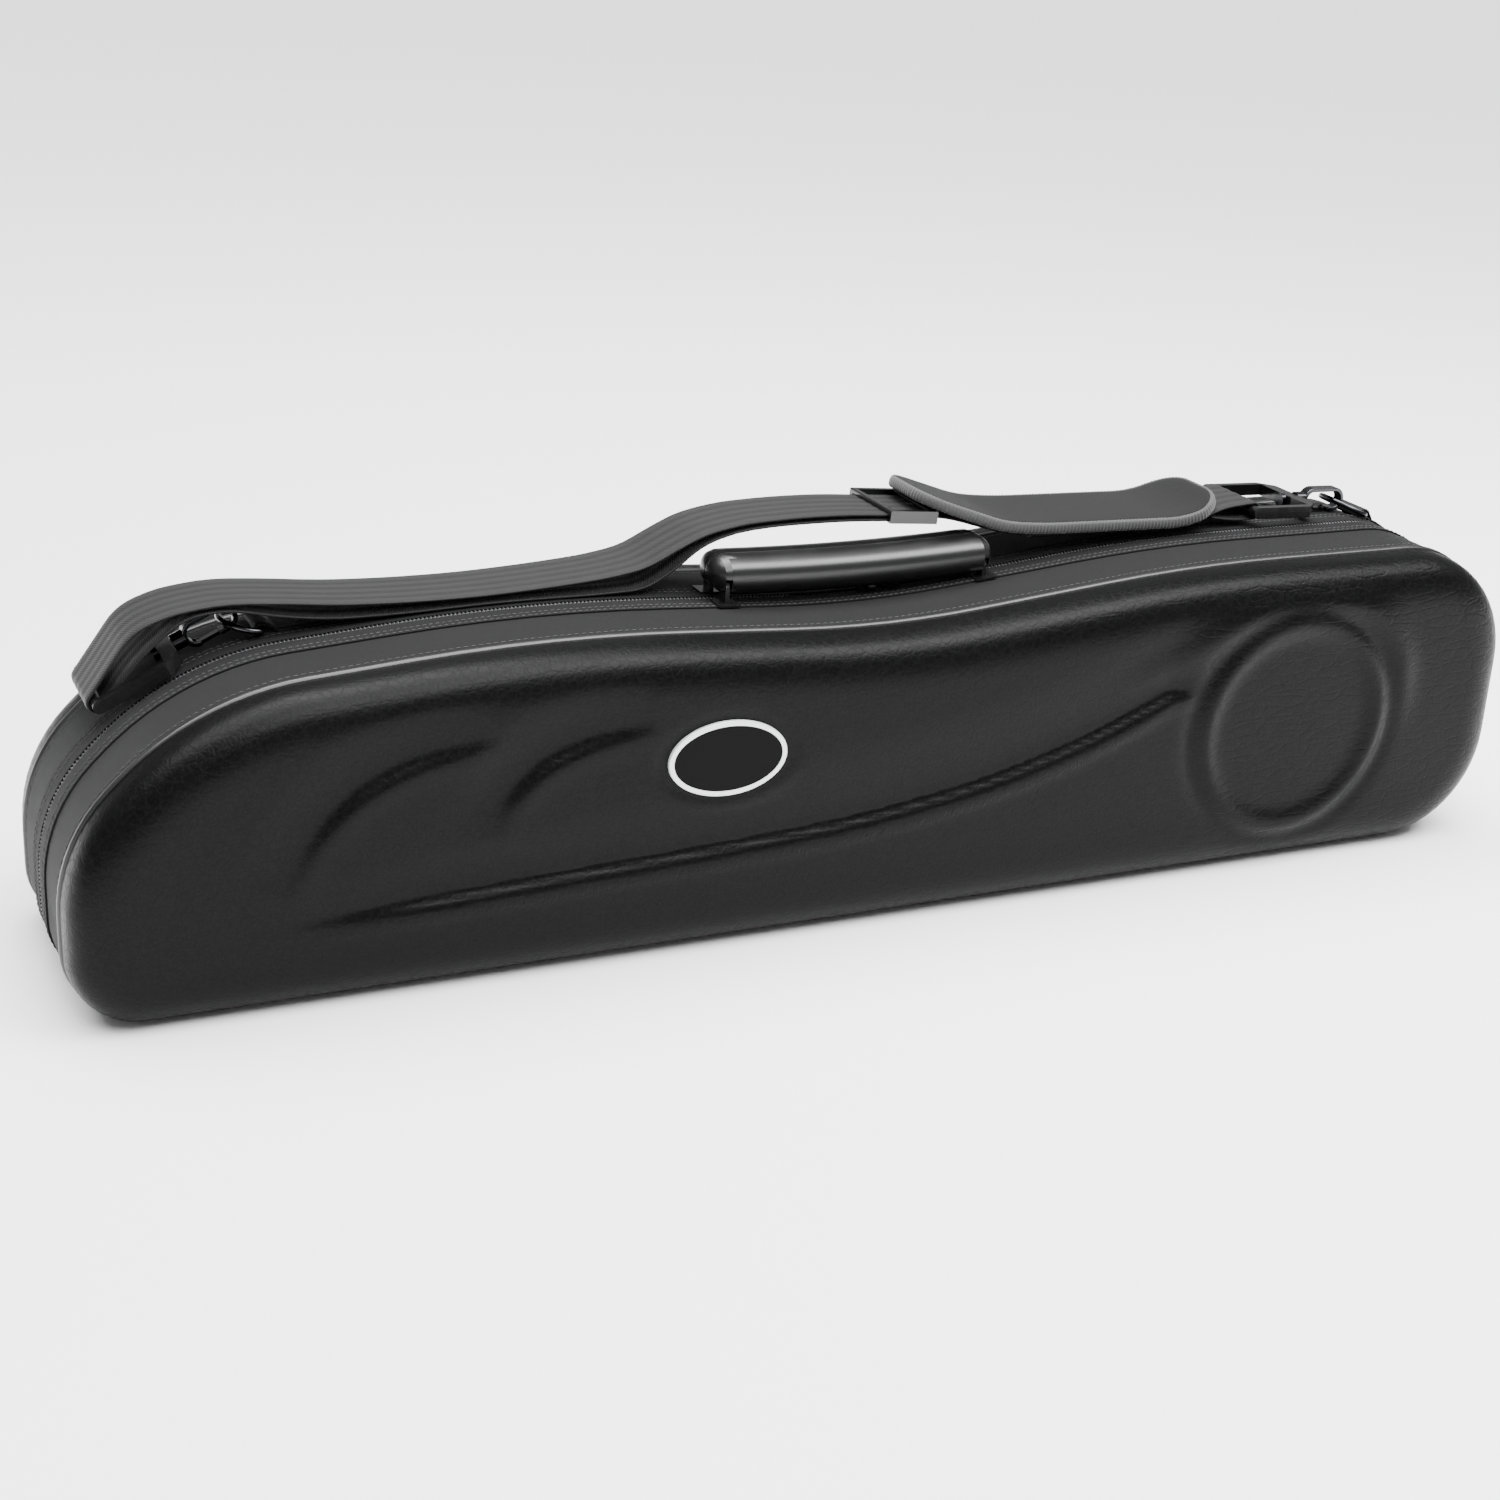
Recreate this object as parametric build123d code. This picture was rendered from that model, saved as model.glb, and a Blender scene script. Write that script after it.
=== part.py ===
"""Zip-around soprano saxophone case: two moulded half shells on a fabric gusset.

X runs along the case, Y through its depth (front is -Y, the zip is at Y = 0) and Z up.
The case stands on its hinged edge, with that edge at Z = 0.
"""

from build123d import *
import math
import os

# Outline of the gusset, seen from the front
CASE_LENGTH = 740.0
BELL_HEIGHT = 158.7
WAIST_HEIGHT = 142.3
NECK_HEIGHT = 153.0
NOSE_HEIGHT = 140.3
NOSE_SIDE_HEIGHT = 80.5
BELL_CREST_FROM_RIGHT = 188.0
WAIST_FROM_RIGHT = 358.0
NECK_CREST_FROM_LEFT = 217.0
NOSE_FROM_LEFT = 60.0
SHOULDER_DROP = 1.2
SMALLEST_RADIUS = 1.5
FOOT_RADIUS = 32.0
HEEL_RADIUS = 58.0
BELL_CORNER_RADIUS = 60.0
BELL_CREST_RADIUS = 1000.0
WAIST_RADIUS = 600.0
NECK_CREST_RADIUS = 900.0
NOSE_RADIUS = 130.0
NOSE_SIDE_RADIUS = 76.0

# Depth of each half, and what it is layered from
PARTING_GAP = 0.3
GUSSET_DEPTH = 44.4
GUSSET_WALL = 3.0
TAPE_THICKNESS = 0.8
TAPE_WIDTH = 13.0
COIL_WIDTH = 1.6
COIL_THICKNESS = 2.4
GUSSET_START = 4.0
BEAD_WIDTH = 4.2
BEAD_DEPTH = 3.4
BEAD_ROUND = 1.9
HINGE_STRIP_WIDTH = 38.0
HINGE_STRIP_MARGIN = 4.0

# Moulded shell
CROWN_DEPTH = 25.0
SHOULDER_INSET = 25.0
SHOULDER_POWER = 1.5
SHELL_INSET = 1.0
SHELL_WALL = 3.0
CROWN_STEPS = 6

# Pressed relief of the shells
BELL_RING_X = 236.0
BELL_RING_Z = 77.0
BELL_RING_RADIUS = 57.0
RIDGE_RADIUS = 7.0
RIDGE_RISE = 3.0
BADGE_X = -79.0
BADGE_Z = 96.0
BADGE_LENGTH = 58.0
BADGE_WIDTH = 36.0
BADGE_RIM = 2.4
BADGE_THICKNESS = 2.0
BADGE_SEAT = 1.2
BADGE_ROUND = 0.6
BADGE_FIELD_RISE = 0.4
POCKET_DEPTH = 2.0
POCKET_FLOOR = 0.92
SWOOSH_RADIUS = 9.0
SWOOSH_DEPTH = 2.0
SWOOSH = [(-288, 40), (-180, 46), (-90, 50), (-10, 55), (60, 66), (115, 82), (158, 100)]
OUTER_POCKET = [
    [(-279, 55), (-268, 78), (-250, 97), (-225, 109), (-184, 116)],
    [(-184, 116), (-198, 101), (-204, 84), (-201, 62)],
    [(-201, 62), (-240, 55), (-279, 55)],
]
INNER_POCKET = [
    [(-186, 70), (-182, 86), (-167, 101), (-144, 110), (-112, 114)],
    [(-112, 114), (-128, 100), (-132, 82), (-126, 66)],
    [(-126, 66), (-156, 64), (-186, 70)],
]

# Lining of the lid and cradle of the rear half
FIT = 0.3
LID_LINING = 4.0
BELL_WELL_RADIUS = 51.0
BODY_WELL_LEFT = -262.0
BODY_WELL_NARROW = 42.0
BODY_WELL_WIDE = 62.0
WELL_AXIS_Z = 77.0
WELL_DEPTH = 56.0
WELL_CORNER = 10.0
MOUTHPIECE_WELL_LENGTH = 46.0
MOUTHPIECE_WELL_HEIGHT = 76.0
MOUTHPIECE_WELL_DEPTH = 40.0
MOUTHPIECE_WELL_GAP = 12.0

# Two-part handle
HANDLE_LENGTH = 150.0
HANDLE_X = 13.0
HANDLE_TOP = 169.5
HANDLE_BAR = 12.5
HANDLE_ARM = 13.0
HANDLE_DEPTH = 13.5
HANDLE_END_RADIUS = 11.0
HANDLE_ROUND = 5.5
HANDLE_SEAM_ROUND = 2.0
PIVOT_Z = 155.4
PIVOT_Y = 9.3
PIVOT_RADIUS = 1.5
PIVOT_EYE = 4.5
PIVOT_CLEARANCE = 0.05
LUG_THICKNESS = 2.2
LUG_EYE = 3.6
LUG_GAP = 0.4
LUG_SOLE = 5.5
SOLE_RISE = 0.9

# Zip sliders, which meet nose to nose under the handle
SLIDER_X = 30.0
SLIDER_LENGTH = 9.0
SLIDER_WIDTH = 8.0
SLIDER_PLATE = 1.1
SLIDER_OFFSET = 6.5
SLIDER_CLEARANCE = 0.35
SLIDER_NECK = 1.0
LEFT_SLIDER_TRAVEL = 30.0
RIGHT_SLIDER_TRAVEL = 14.0
COIL_PARTING = 0.75
BAIL_LENGTH = 2.6
BAIL_WIDTH = 2.4
BAIL_HEIGHT = 2.4
PULL_LENGTH = 20.0
PULL_WIDTH = 5.6
PULL_THICKNESS = 1.1
PULL_PIN_RADIUS = 0.55

# Shoulder strap and its webbing
STRAP_WIDTH = 38.0
STRAP_Y = 23.0
STRAP_THICKNESS = 1.6
LAYER_PITCH = 2.2
BAR_RADIUS = 3.0
BAR_FIT = 0.4

# Snap hooks, their swivel loops and the rings that they catch
HOOK_THICKNESS = 6.0
HOOK_INNER = 4.2
HOOK_BAR = 2.2
HOOK_NOSE = 5.8
HOOK_TAIL = 16.0
GATE_START = 2.5
GATE_PIVOT = 13.0
GATE_WIDTH = 3.6
GATE_CLEARANCE = 0.3
GATE_PIN_RADIUS = 0.6
SHANK_RADIUS = 2.5
SHANK_COLLAR = 4.0
SHANK_HEAD = 3.6
SHANK_HEAD_LENGTH = 2.4
LOOP_START = 23.0
LOOP_BOSS = 7.0
LOOP_ARM = 4.0
LOOP_HEIGHT = 6.0
LOOP_REACH = 63.0
LOOP_SIDE_GAP = 1.5
RING_WIRE = 1.5
RING_WIDTH = 32.0
RING_CORNER = 3.0
TAB_THICKNESS = 1.2
TAB_WIDTH = 25.0
TAB_LENGTH = 28.0
LEFT_RING = (-284.0, 149.3)
LEFT_HOOK_ANGLE = 205.5
LEFT_RING_DROP = 10.0
RIGHT_RING = (314.0, 164.0)
RIGHT_HOOK_ANGLE = 177.8
RIGHT_RING_DROP = 24.0

# Strap route in (x, z): the return layer from the adjuster, then the main layer to the pad
LEFT_WRAP_ANGLE = 55.0
WRAP_TRIM = 0.2
LEAD_IN = 24.0
LEAD_OUT = 16.0
SOFT_BEND = 0.45
RETURN_ROUTE = [
    (10, 178.1), (-24, 178.0), (-45, 176.4), (-62, 171.0), (-76, 159.6), (-90, 151.9),
    (-112, 151.3), (-160, 151.9), (-208, 150.3), (-238, 150.6), (-261, 153.6), (-284, 158.9),
    (-303, 156.6),
]
MAIN_ROUTE = [
    (-325, 152.1), (-309, 158.6), (-286, 161.6), (-262, 159.8), (-235, 156.8), (-205, 155.4),
    (-170, 155.2), (-136, 156.8), (-108, 158.9), (-89, 162.2), (-75, 169.4), (-60, 176.3),
    (-40, 180.0), (-14, 181.0),
]
PAD_ROUTE = [(92, 168.2), (106, 164.3), (203, 161.35), (218, 163.6), (233, 169.2)]
ADJUSTER_RUN = [(14, 180.6), (66, 176.4)]
TAIL_ROUTE = [(240, 161.9), (226, 164.4)]

# Adjuster and shoulder pad
ADJUSTER_X = 48.0
ADJUSTER_LENGTH = 26.0
ADJUSTER_BAR = 3.2
ADJUSTER_CENTRE_BAR = 4.0
ADJUSTER_RAIL = 3.0
ADJUSTER_BAR_THICKNESS = 2.0
ADJUSTER_GAP = 0.3
PAD_WIDTH = 56.0
PAD_THICKNESS = 6.0
PAD_END_RADIUS = 20.0
PAD_LINE = [
    (52, 187.0), (64, 182.6), (78, 177.6), (97, 170.8), (120, 168.3), (200, 165.87), (214, 168.5),
    (229, 176.0),
]
KEEPER_LENGTH = 16.0
KEEPER_THICKNESS = 1.0
KEEPER_FIT = 0.4
KEEPER_SEAT = 0.05
KEEPER_PLACES = (124.0, 186.0)

HALF_LENGTH = CASE_LENGTH / 2
WAIST_X = HALF_LENGTH - WAIST_FROM_RIGHT
BELL_CREST_X = HALF_LENGTH - BELL_CREST_FROM_RIGHT
NECK_CREST_X = NECK_CREST_FROM_LEFT - HALF_LENGTH
BEAD_START = GUSSET_DEPTH
SHELL_START = BEAD_START + BEAD_WIDTH
CASE_HALF_DEPTH = SHELL_START + CROWN_DEPTH
FACE_Y = -CASE_HALF_DEPTH
GUSSET_INSET = TAPE_THICKNESS
LINING_INSET = GUSSET_INSET + GUSSET_WALL + FIT
CROWN_LINING_INSET = SHELL_INSET + SHELL_WALL + FIT
EDGE = PARTING_GAP / 2
PART_FOLDER = "parts"


def corners():
    """Corners of the outline as (x, z, radius), anticlockwise from the lower left."""
    return [
        (-HALF_LENGTH, 0, FOOT_RADIUS),
        (HALF_LENGTH, 0, HEEL_RADIUS),
        (HALF_LENGTH, BELL_HEIGHT - SHOULDER_DROP, BELL_CORNER_RADIUS),
        (BELL_CREST_X, BELL_HEIGHT, BELL_CREST_RADIUS),
        (WAIST_X, WAIST_HEIGHT, WAIST_RADIUS),
        (NECK_CREST_X, NECK_HEIGHT, NECK_CREST_RADIUS),
        (NOSE_FROM_LEFT - HALF_LENGTH, NOSE_HEIGHT, NOSE_RADIUS),
        (-HALF_LENGTH, NOSE_SIDE_HEIGHT, NOSE_SIDE_RADIUS),
    ]


def inset_corners(inset):
    """The same corners with every side moved inwards by the inset."""
    points = [Vector(x, z) for x, z, _ in corners()]
    radii = [radius for _, _, radius in corners()]
    count = len(points)
    moved = []
    for k, point in enumerate(points):
        before = (point - points[k - 1]).normalized()
        after = (points[(k + 1) % count] - point).normalized()
        turn = before.X * after.Y - before.Y * after.X
        cosine = before.X * after.X + before.Y * after.Y
        normals = Vector(-before.Y - after.Y, before.X + after.X)
        radius = max(radii[k] - inset * math.copysign(1, turn), SMALLEST_RADIUS)
        moved.append((point + normals * (inset / (1 + cosine)), radius))
    return moved


def outline(inset, y):
    """The outline drawn in by the inset, as a face at depth y."""
    moved = inset_corners(inset)
    points = [(p.X, p.Y) for p, _ in moved]
    line = FilletPolyline(*points, radius=[radius for _, radius in moved], close=True)
    return Plane.XZ.offset(-y) * make_face(line)


def slab(inset, y0, y1):
    """The drawn-in outline as a solid from depth y0 to y1."""
    return extrude(outline(inset, y0), amount=y1 - y0, dir=(0, 1, 0))


def band(outer, inner, y0, y1):
    """A wall that follows the outline, between two insets."""
    return slab(outer, y0, y1) - slab(inner, y0, y1)


def crown(inset, depth, y, side):
    """A closed crowned form on the outline, with soft shoulders, on one side of the zip."""
    sections = []
    for k in range(CROWN_STEPS + 1):
        angle = math.pi / 2 * k / CROWN_STEPS
        draw_in = SHOULDER_INSET * (1 - math.cos(angle)) ** SHOULDER_POWER
        sections.append(outline(inset + draw_in, side * (y + depth * math.sin(angle))))
    return loft(sections)


def box(x0, x1, y0, y1, z0, z1):
    """A box from its two corners."""
    size = (x1 - x0, y1 - y0, z1 - z0)
    return Pos((x0 + x1) / 2, (y0 + y1) / 2, (z0 + z1) / 2) * Box(*size)


def top_at(x):
    """Height of the top of the outline at x."""
    probe = box(x - 0.01, x + 0.01, -1, 1, 0, 2 * BELL_HEIGHT) & slab(0, -1, 1)
    return probe.bounding_box().max.Z


def half(side, y0, y1):
    """Two depths of one half, in rising order."""
    return (y0, y1) if side > 0 else (-y1, -y0)


def gusset(side):
    """Fabric side wall of one half."""
    return band(GUSSET_INSET, GUSSET_INSET + GUSSET_WALL, *half(side, GUSSET_START, GUSSET_DEPTH))


def hinge_zone():
    """Stretch of the lower edge where the fabric hinge takes the zip's place."""
    left = FOOT_RADIUS + HINGE_STRIP_MARGIN - HALF_LENGTH
    right = HALF_LENGTH - HEEL_RADIUS - HINGE_STRIP_MARGIN
    return box(left, right, -GUSSET_DEPTH, GUSSET_DEPTH, -1, GUSSET_START)


def zip_tape(side):
    """Woven tape sewn over the gusset's edge, round the top and both ends."""
    start = EDGE + COIL_WIDTH
    tape = band(0, TAPE_THICKNESS, *half(side, start, start + TAPE_WIDTH))
    return tape - hinge_zone()


def zip_coil(side):
    """Coil of the zip, along the inner edge of its tape."""
    coil = band(0, COIL_THICKNESS, *half(side, EDGE, EDGE + COIL_WIDTH))
    return coil - hinge_zone() - slider_way()


def slider_way():
    """Slit between the coils where the necks of the sliders run."""
    left = SLIDER_X - SLIDER_OFFSET - LEFT_SLIDER_TRAVEL - SLIDER_LENGTH
    right = SLIDER_X + SLIDER_OFFSET + RIGHT_SLIDER_TRAVEL + SLIDER_LENGTH
    return box(left, right, -COIL_PARTING, COIL_PARTING, WAIST_HEIGHT / 2, BELL_HEIGHT)


def hinge_strip(side):
    """Leaf of the fabric hinge, which the case stands on."""
    leaf = band(0, TAPE_THICKNESS, *half(side, EDGE, HINGE_STRIP_WIDTH))
    margin = 1.0
    left = FOOT_RADIUS + HINGE_STRIP_MARGIN + margin - HALF_LENGTH
    right = HALF_LENGTH - HEEL_RADIUS - HINGE_STRIP_MARGIN - margin
    return leaf & box(left, right, -GUSSET_DEPTH, GUSSET_DEPTH, -1, GUSSET_START)


def piping(side):
    """Rounded bead that hides the seam between gusset and shell."""
    y0, y1 = half(side, BEAD_START, SHELL_START)
    core = slab(0, y0, y1)
    rims = core.edges().filter_by(lambda e: min(abs(e.center().Y - y) for y in (y0, y1)) < 0.01)
    return fillet(rims, BEAD_ROUND) - slab(BEAD_DEPTH, y0, y1)


def shell(side):
    """Moulded half shell: a thin crowned dish."""
    outer = crown(SHELL_INSET, CROWN_DEPTH, SHELL_START, side)
    inner = crown(SHELL_INSET + SHELL_WALL, CROWN_DEPTH - SHELL_WALL, SHELL_START, side)
    return outer - inner


def on_face(sketch, lift=0.0):
    """Places a sketch of (x, z) on the front face, lifted outwards."""
    return Plane.XZ.offset(-FACE_Y + lift) * sketch


def pressed_groove(points, radius, depth):
    """Round-bottomed groove along a smooth line in the front face."""
    line = Spline(*points)
    path = Plane.XZ.offset(-FACE_Y + radius - depth) * line
    start = Plane(origin=path @ 0, z_dir=path % 0)
    return sweep(start * Circle(radius), path=path)


def pocket(points, depth):
    """Crescent pocket pressed into the front face, with sloping walls."""
    middle = sum((Vector(*side[0]) for side in points), Vector()) / len(points)

    def level(share, lift):
        drawn = [[middle + (Vector(*p) - middle) * share for p in side] for side in points]
        return on_face(make_face(Curve() + [Spline(*side) for side in drawn]), lift)
    return loft([level(1, 1.0), level(POCKET_FLOOR, -depth)])


def bell_ring():
    """Round ridge pressed out of the front face above the bell."""
    centre = Pos(BELL_RING_X, FACE_Y + RIDGE_RADIUS - RIDGE_RISE, BELL_RING_Z)
    return centre * Rot(90, 0, 0) * Torus(BELL_RING_RADIUS, RIDGE_RADIUS)


def badge_outline(grow):
    """Oval of the badge, grown by an allowance."""
    return Pos(BADGE_X, BADGE_Z) * Ellipse(BADGE_LENGTH / 2 + grow, BADGE_WIDTH / 2 + grow)


def pressed_shell():
    """Front half shell with its pressed ring, swoosh and pockets."""
    body = shell(-1) - pressed_groove(SWOOSH, SWOOSH_RADIUS, SWOOSH_DEPTH)
    body = body - pocket(OUTER_POCKET, POCKET_DEPTH) - pocket(INNER_POCKET, POCKET_DEPTH)
    inside = crown(SHELL_INSET + SHELL_WALL, CROWN_DEPTH - SHELL_WALL, SHELL_START, -1)
    return body + (bell_ring() - inside)


def badge_plate():
    """Bare oval field of the badge."""
    field = on_face(badge_outline(-BADGE_RIM), -BADGE_SEAT)
    return extrude(field, amount=BADGE_SEAT + BADGE_FIELD_RISE)


def badge_ring():
    """Raised rim of the badge."""
    rim = extrude(on_face(badge_outline(0), -BADGE_SEAT), amount=BADGE_THICKNESS)
    proud = FACE_Y - BADGE_THICKNESS + BADGE_SEAT
    rim = fillet(rim.edges().filter_by(lambda e: e.center().Y < proud + 0.1), BADGE_ROUND)
    return rim - extrude(on_face(badge_outline(-BADGE_RIM), -BADGE_SEAT), amount=BADGE_THICKNESS)


def lid_lining():
    """Padded plush lining of the lid, which leaves it open inside."""
    def fill(inset, depth):
        wall = slab(LINING_INSET + inset, -SHELL_START, -GUSSET_START)
        return wall + crown(CROWN_LINING_INSET + inset, depth, SHELL_START, -1)
    outer = fill(0, CROWN_DEPTH - SHELL_WALL - FIT)
    return outer - fill(LID_LINING, CROWN_DEPTH - SHELL_WALL - FIT - LID_LINING)


def rear_cradle():
    """Foam cradle with wells for the body, the bell and the mouthpiece."""
    depth = CROWN_DEPTH - SHELL_WALL - FIT
    foam = slab(LINING_INSET, GUSSET_START, SHELL_START)
    foam += crown(CROWN_LINING_INSET, depth, SHELL_START, 1)
    body = Polygon(
        (BODY_WELL_LEFT, WELL_AXIS_Z - BODY_WELL_NARROW / 2),
        (BELL_RING_X, WELL_AXIS_Z - BODY_WELL_WIDE / 2),
        (BELL_RING_X, WELL_AXIS_Z + BODY_WELL_WIDE / 2),
        (BODY_WELL_LEFT, WELL_AXIS_Z + BODY_WELL_NARROW / 2),
        align=None,
    )
    bell = Pos(BELL_RING_X, WELL_AXIS_Z) * Circle(BELL_WELL_RADIUS)
    well = fillet((body + bell).vertices(), WELL_CORNER)
    plane = Plane.XZ.offset(-GUSSET_START)
    cut = extrude(plane * well, amount=-WELL_DEPTH)
    mouth_x = BODY_WELL_LEFT - MOUTHPIECE_WELL_GAP - MOUTHPIECE_WELL_LENGTH / 2
    mouth = RectangleRounded(MOUTHPIECE_WELL_LENGTH, MOUTHPIECE_WELL_HEIGHT, WELL_CORNER)
    mouth = Pos(mouth_x, WELL_AXIS_Z) * mouth
    return foam - cut - extrude(plane * mouth, amount=-MOUTHPIECE_WELL_DEPTH)


def handle_profile():
    """Arched outline of a handle half: a bar on two short rounded arms."""
    height = HANDLE_TOP - PIVOT_Z
    outer = Pos(HANDLE_X, PIVOT_Z + height / 2) * Rectangle(HANDLE_LENGTH, height)
    outer = fillet(outer.vertices().group_by(Axis.Y)[-1], HANDLE_END_RADIUS)
    gap_height = height - HANDLE_BAR
    inner = Pos(HANDLE_X, PIVOT_Z + gap_height / 2) * Rectangle(HANDLE_LENGTH - 2 * HANDLE_ARM, gap_height)
    return outer - inner


def arm_centres():
    """Middle of each arm of the handle."""
    reach = (HANDLE_LENGTH - HANDLE_ARM) / 2
    return (HANDLE_X - reach, HANDLE_X + reach)


def handle(side):
    """Moulded handle half with a flat mating face and a rounded outer side."""
    form = extrude(Plane.XZ.offset(-side * EDGE * 2) * handle_profile(), amount=-side * HANDLE_DEPTH)
    outer_y = side * (HANDLE_DEPTH + EDGE * 2)
    rim = form.edges().filter_by(lambda e: abs(e.center().Y - outer_y) < 0.01 and e.center().Z > PIVOT_Z + 1)
    form = fillet(rim, HANDLE_ROUND)
    seam = form.edges().filter_by(lambda e: abs(e.center().Y - side * EDGE * 2) < 0.01).group_by(Axis.Z)[-1]
    form = fillet(seam, HANDLE_SEAM_ROUND)
    slot_half = LUG_THICKNESS / 2 + LUG_GAP
    for x in arm_centres():
        slot_top = PIVOT_Z + LUG_EYE + LUG_GAP
        form += pivot_rod(x, side, HANDLE_ARM, PIVOT_EYE)
        form -= box(x - slot_half, x + slot_half, *half(side, 0, HANDLE_DEPTH + 1), 0, slot_top)
        form -= pivot_rod(x, side, HANDLE_ARM + 1, PIVOT_RADIUS)
    return form


def pivot_rod(x, side, length, radius):
    """Rod along X through a handle pivot."""
    return Pos(x, side * PIVOT_Y, PIVOT_Z) * Rot(0, 90, 0) * Cylinder(radius, length)


def handle_pins(side):
    """Pins pressed across both arms of a handle half."""
    return Part() + [pivot_rod(x, side, HANDLE_ARM - 2, PIVOT_RADIUS) for x in arm_centres()]


def handle_lugs(side):
    """Lugs on the gusset that carry the pins of a handle half."""
    lugs = Part()
    for x in arm_centres():
        reach = LUG_THICKNESS / 2
        lug = box(x - reach, x + reach, *half(side, PIVOT_Y - LUG_EYE, PIVOT_Y + LUG_EYE), 0, PIVOT_Z)
        lug += pivot_rod(x, side, LUG_THICKNESS, LUG_EYE)
        sole = box(x - LUG_SOLE, x + LUG_SOLE, *half(side, PIVOT_Y - LUG_EYE, PIVOT_Y + 2 * LUG_EYE), 0, PIVOT_Z)
        sole &= slab(-SOLE_RISE, -GUSSET_DEPTH, GUSSET_DEPTH)
        lugs += (lug + sole) - pivot_rod(x, side, HANDLE_ARM, PIVOT_RADIUS + PIVOT_CLEARANCE)
    return lugs - slab(0, -GUSSET_DEPTH, GUSSET_DEPTH)


def on_gusset(rise, x0, x1, y0, y1):
    """A layer of the given rise that lies on the top of the rear gusset and its tape."""
    layer = slab(-rise, y0, y1) & box(x0, x1, y0, y1, WAIST_HEIGHT / 2, 2 * BELL_HEIGHT)
    tape_end = EDGE + COIL_WIDTH + TAPE_WIDTH
    return layer - slab(0, -tape_end, tape_end) - slab(GUSSET_INSET, -GUSSET_DEPTH, GUSSET_DEPTH)


def slider_frame(sign):
    """Local frame of a slider on the zip: x outwards along its travel, z out of the gusset."""
    x = SLIDER_X + sign * SLIDER_OFFSET
    travel = LEFT_SLIDER_TRAVEL if sign < 0 else RIGHT_SLIDER_TRAVEL
    rise = top_at(x + sign * travel) - top_at(x)
    turn = 0 if sign > 0 else 180
    return Pos(x, 0, top_at(x)) * Rot(0, -math.degrees(math.atan2(rise, sign * travel)), 0) * Rot(turn, 0, 0)


def zip_slider(sign):
    """Slider body: an outer and an inner plate joined by a neck, with a bail for the pull."""
    low = -COIL_THICKNESS - SLIDER_CLEARANCE
    reach = SLIDER_LENGTH / 2
    plate_top = SLIDER_CLEARANCE + SLIDER_PLATE
    outer = box(-reach, reach, -SLIDER_WIDTH / 2, SLIDER_WIDTH / 2, SLIDER_CLEARANCE, plate_top)
    outer = fillet(outer.edges().filter_by(Axis.Z), SLIDER_WIDTH / 4)
    plate_y = sorted((-sign * SLIDER_NECK / 2, sign * (GUSSET_START - FIT)))
    inner = box(-reach, reach, *plate_y, low - SLIDER_PLATE, low)
    neck = box(-reach, -reach + 2 * SLIDER_NECK, -SLIDER_NECK / 2, SLIDER_NECK / 2, low, SLIDER_CLEARANCE)
    bail = box(-BAIL_LENGTH / 2, BAIL_LENGTH / 2, -BAIL_WIDTH / 2, BAIL_WIDTH / 2, plate_top, plate_top + BAIL_HEIGHT)
    bail = fillet(bail.edges().filter_by(Axis.Y).group_by(Axis.Z)[-1], BAIL_LENGTH / 3)
    bail -= pull_pin(PULL_PIN_RADIUS + PIVOT_CLEARANCE)
    return slider_frame(sign) * (outer + inner + neck + bail)


def pull_pin(radius):
    """Cross pin of a pull, in its slider's frame."""
    height = SLIDER_CLEARANCE + SLIDER_PLATE + BAIL_HEIGHT / 2
    return Pos(0, 0, height) * Rot(90, 0, 0) * Cylinder(radius, PULL_WIDTH)


def zip_pull(sign):
    """Pull tab, forked round its slider's bail."""
    height = SLIDER_CLEARANCE + SLIDER_PLATE + BAIL_HEIGHT / 2
    plate = Pos(PULL_LENGTH / 2 - 1.0) * RectangleRounded(PULL_LENGTH, PULL_WIDTH, PULL_WIDTH / 4)
    fork = Rectangle(2 * BAIL_LENGTH + 2, BAIL_WIDTH + 2 * FIT)
    eye = Pos(PULL_LENGTH - 4.0) * Circle(PULL_WIDTH / 4)
    tab = extrude(Pos(0, 0, height - PULL_THICKNESS / 2) * (plate - fork - eye), amount=PULL_THICKNESS)
    return slider_frame(sign) * (tab + pull_pin(PULL_PIN_RADIUS))


def hook_frame(ring, angle):
    """Frame of a snap hook: x from the ring towards the strap, y across the strap."""
    return Pos(ring[0], STRAP_Y, ring[1]) * Rot(0, -angle, 0)


def upright(sketch, thickness):
    """Extrudes a sketch of (x, z) both ways along y."""
    return extrude(Plane.XZ * sketch, amount=thickness / 2, both=True)


def along_x(x0, x1, radius):
    """Cylinder along x."""
    return Pos((x0 + x1) / 2, 0, 0) * Rot(0, 90, 0) * Cylinder(radius, x1 - x0)


def hook_slot(grow):
    """Rounded slot that the hook bends round, grown by the hook's bar."""
    length = HOOK_NOSE + HOOK_TAIL + 2 * grow
    return Pos((HOOK_TAIL - HOOK_NOSE) / 2) * SlotOverall(length, 2 * (HOOK_INNER + grow))


def gate_place():
    """Pivot of the gate in the hook's own (x, z)."""
    return (GATE_PIVOT, HOOK_INNER + HOOK_BAR / 2)


def gate_pin(radius, length):
    """Pin of the gate along y."""
    x, z = gate_place()
    return Pos(x, 0, z) * Rot(90, 0, 0) * Cylinder(radius, length)


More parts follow.
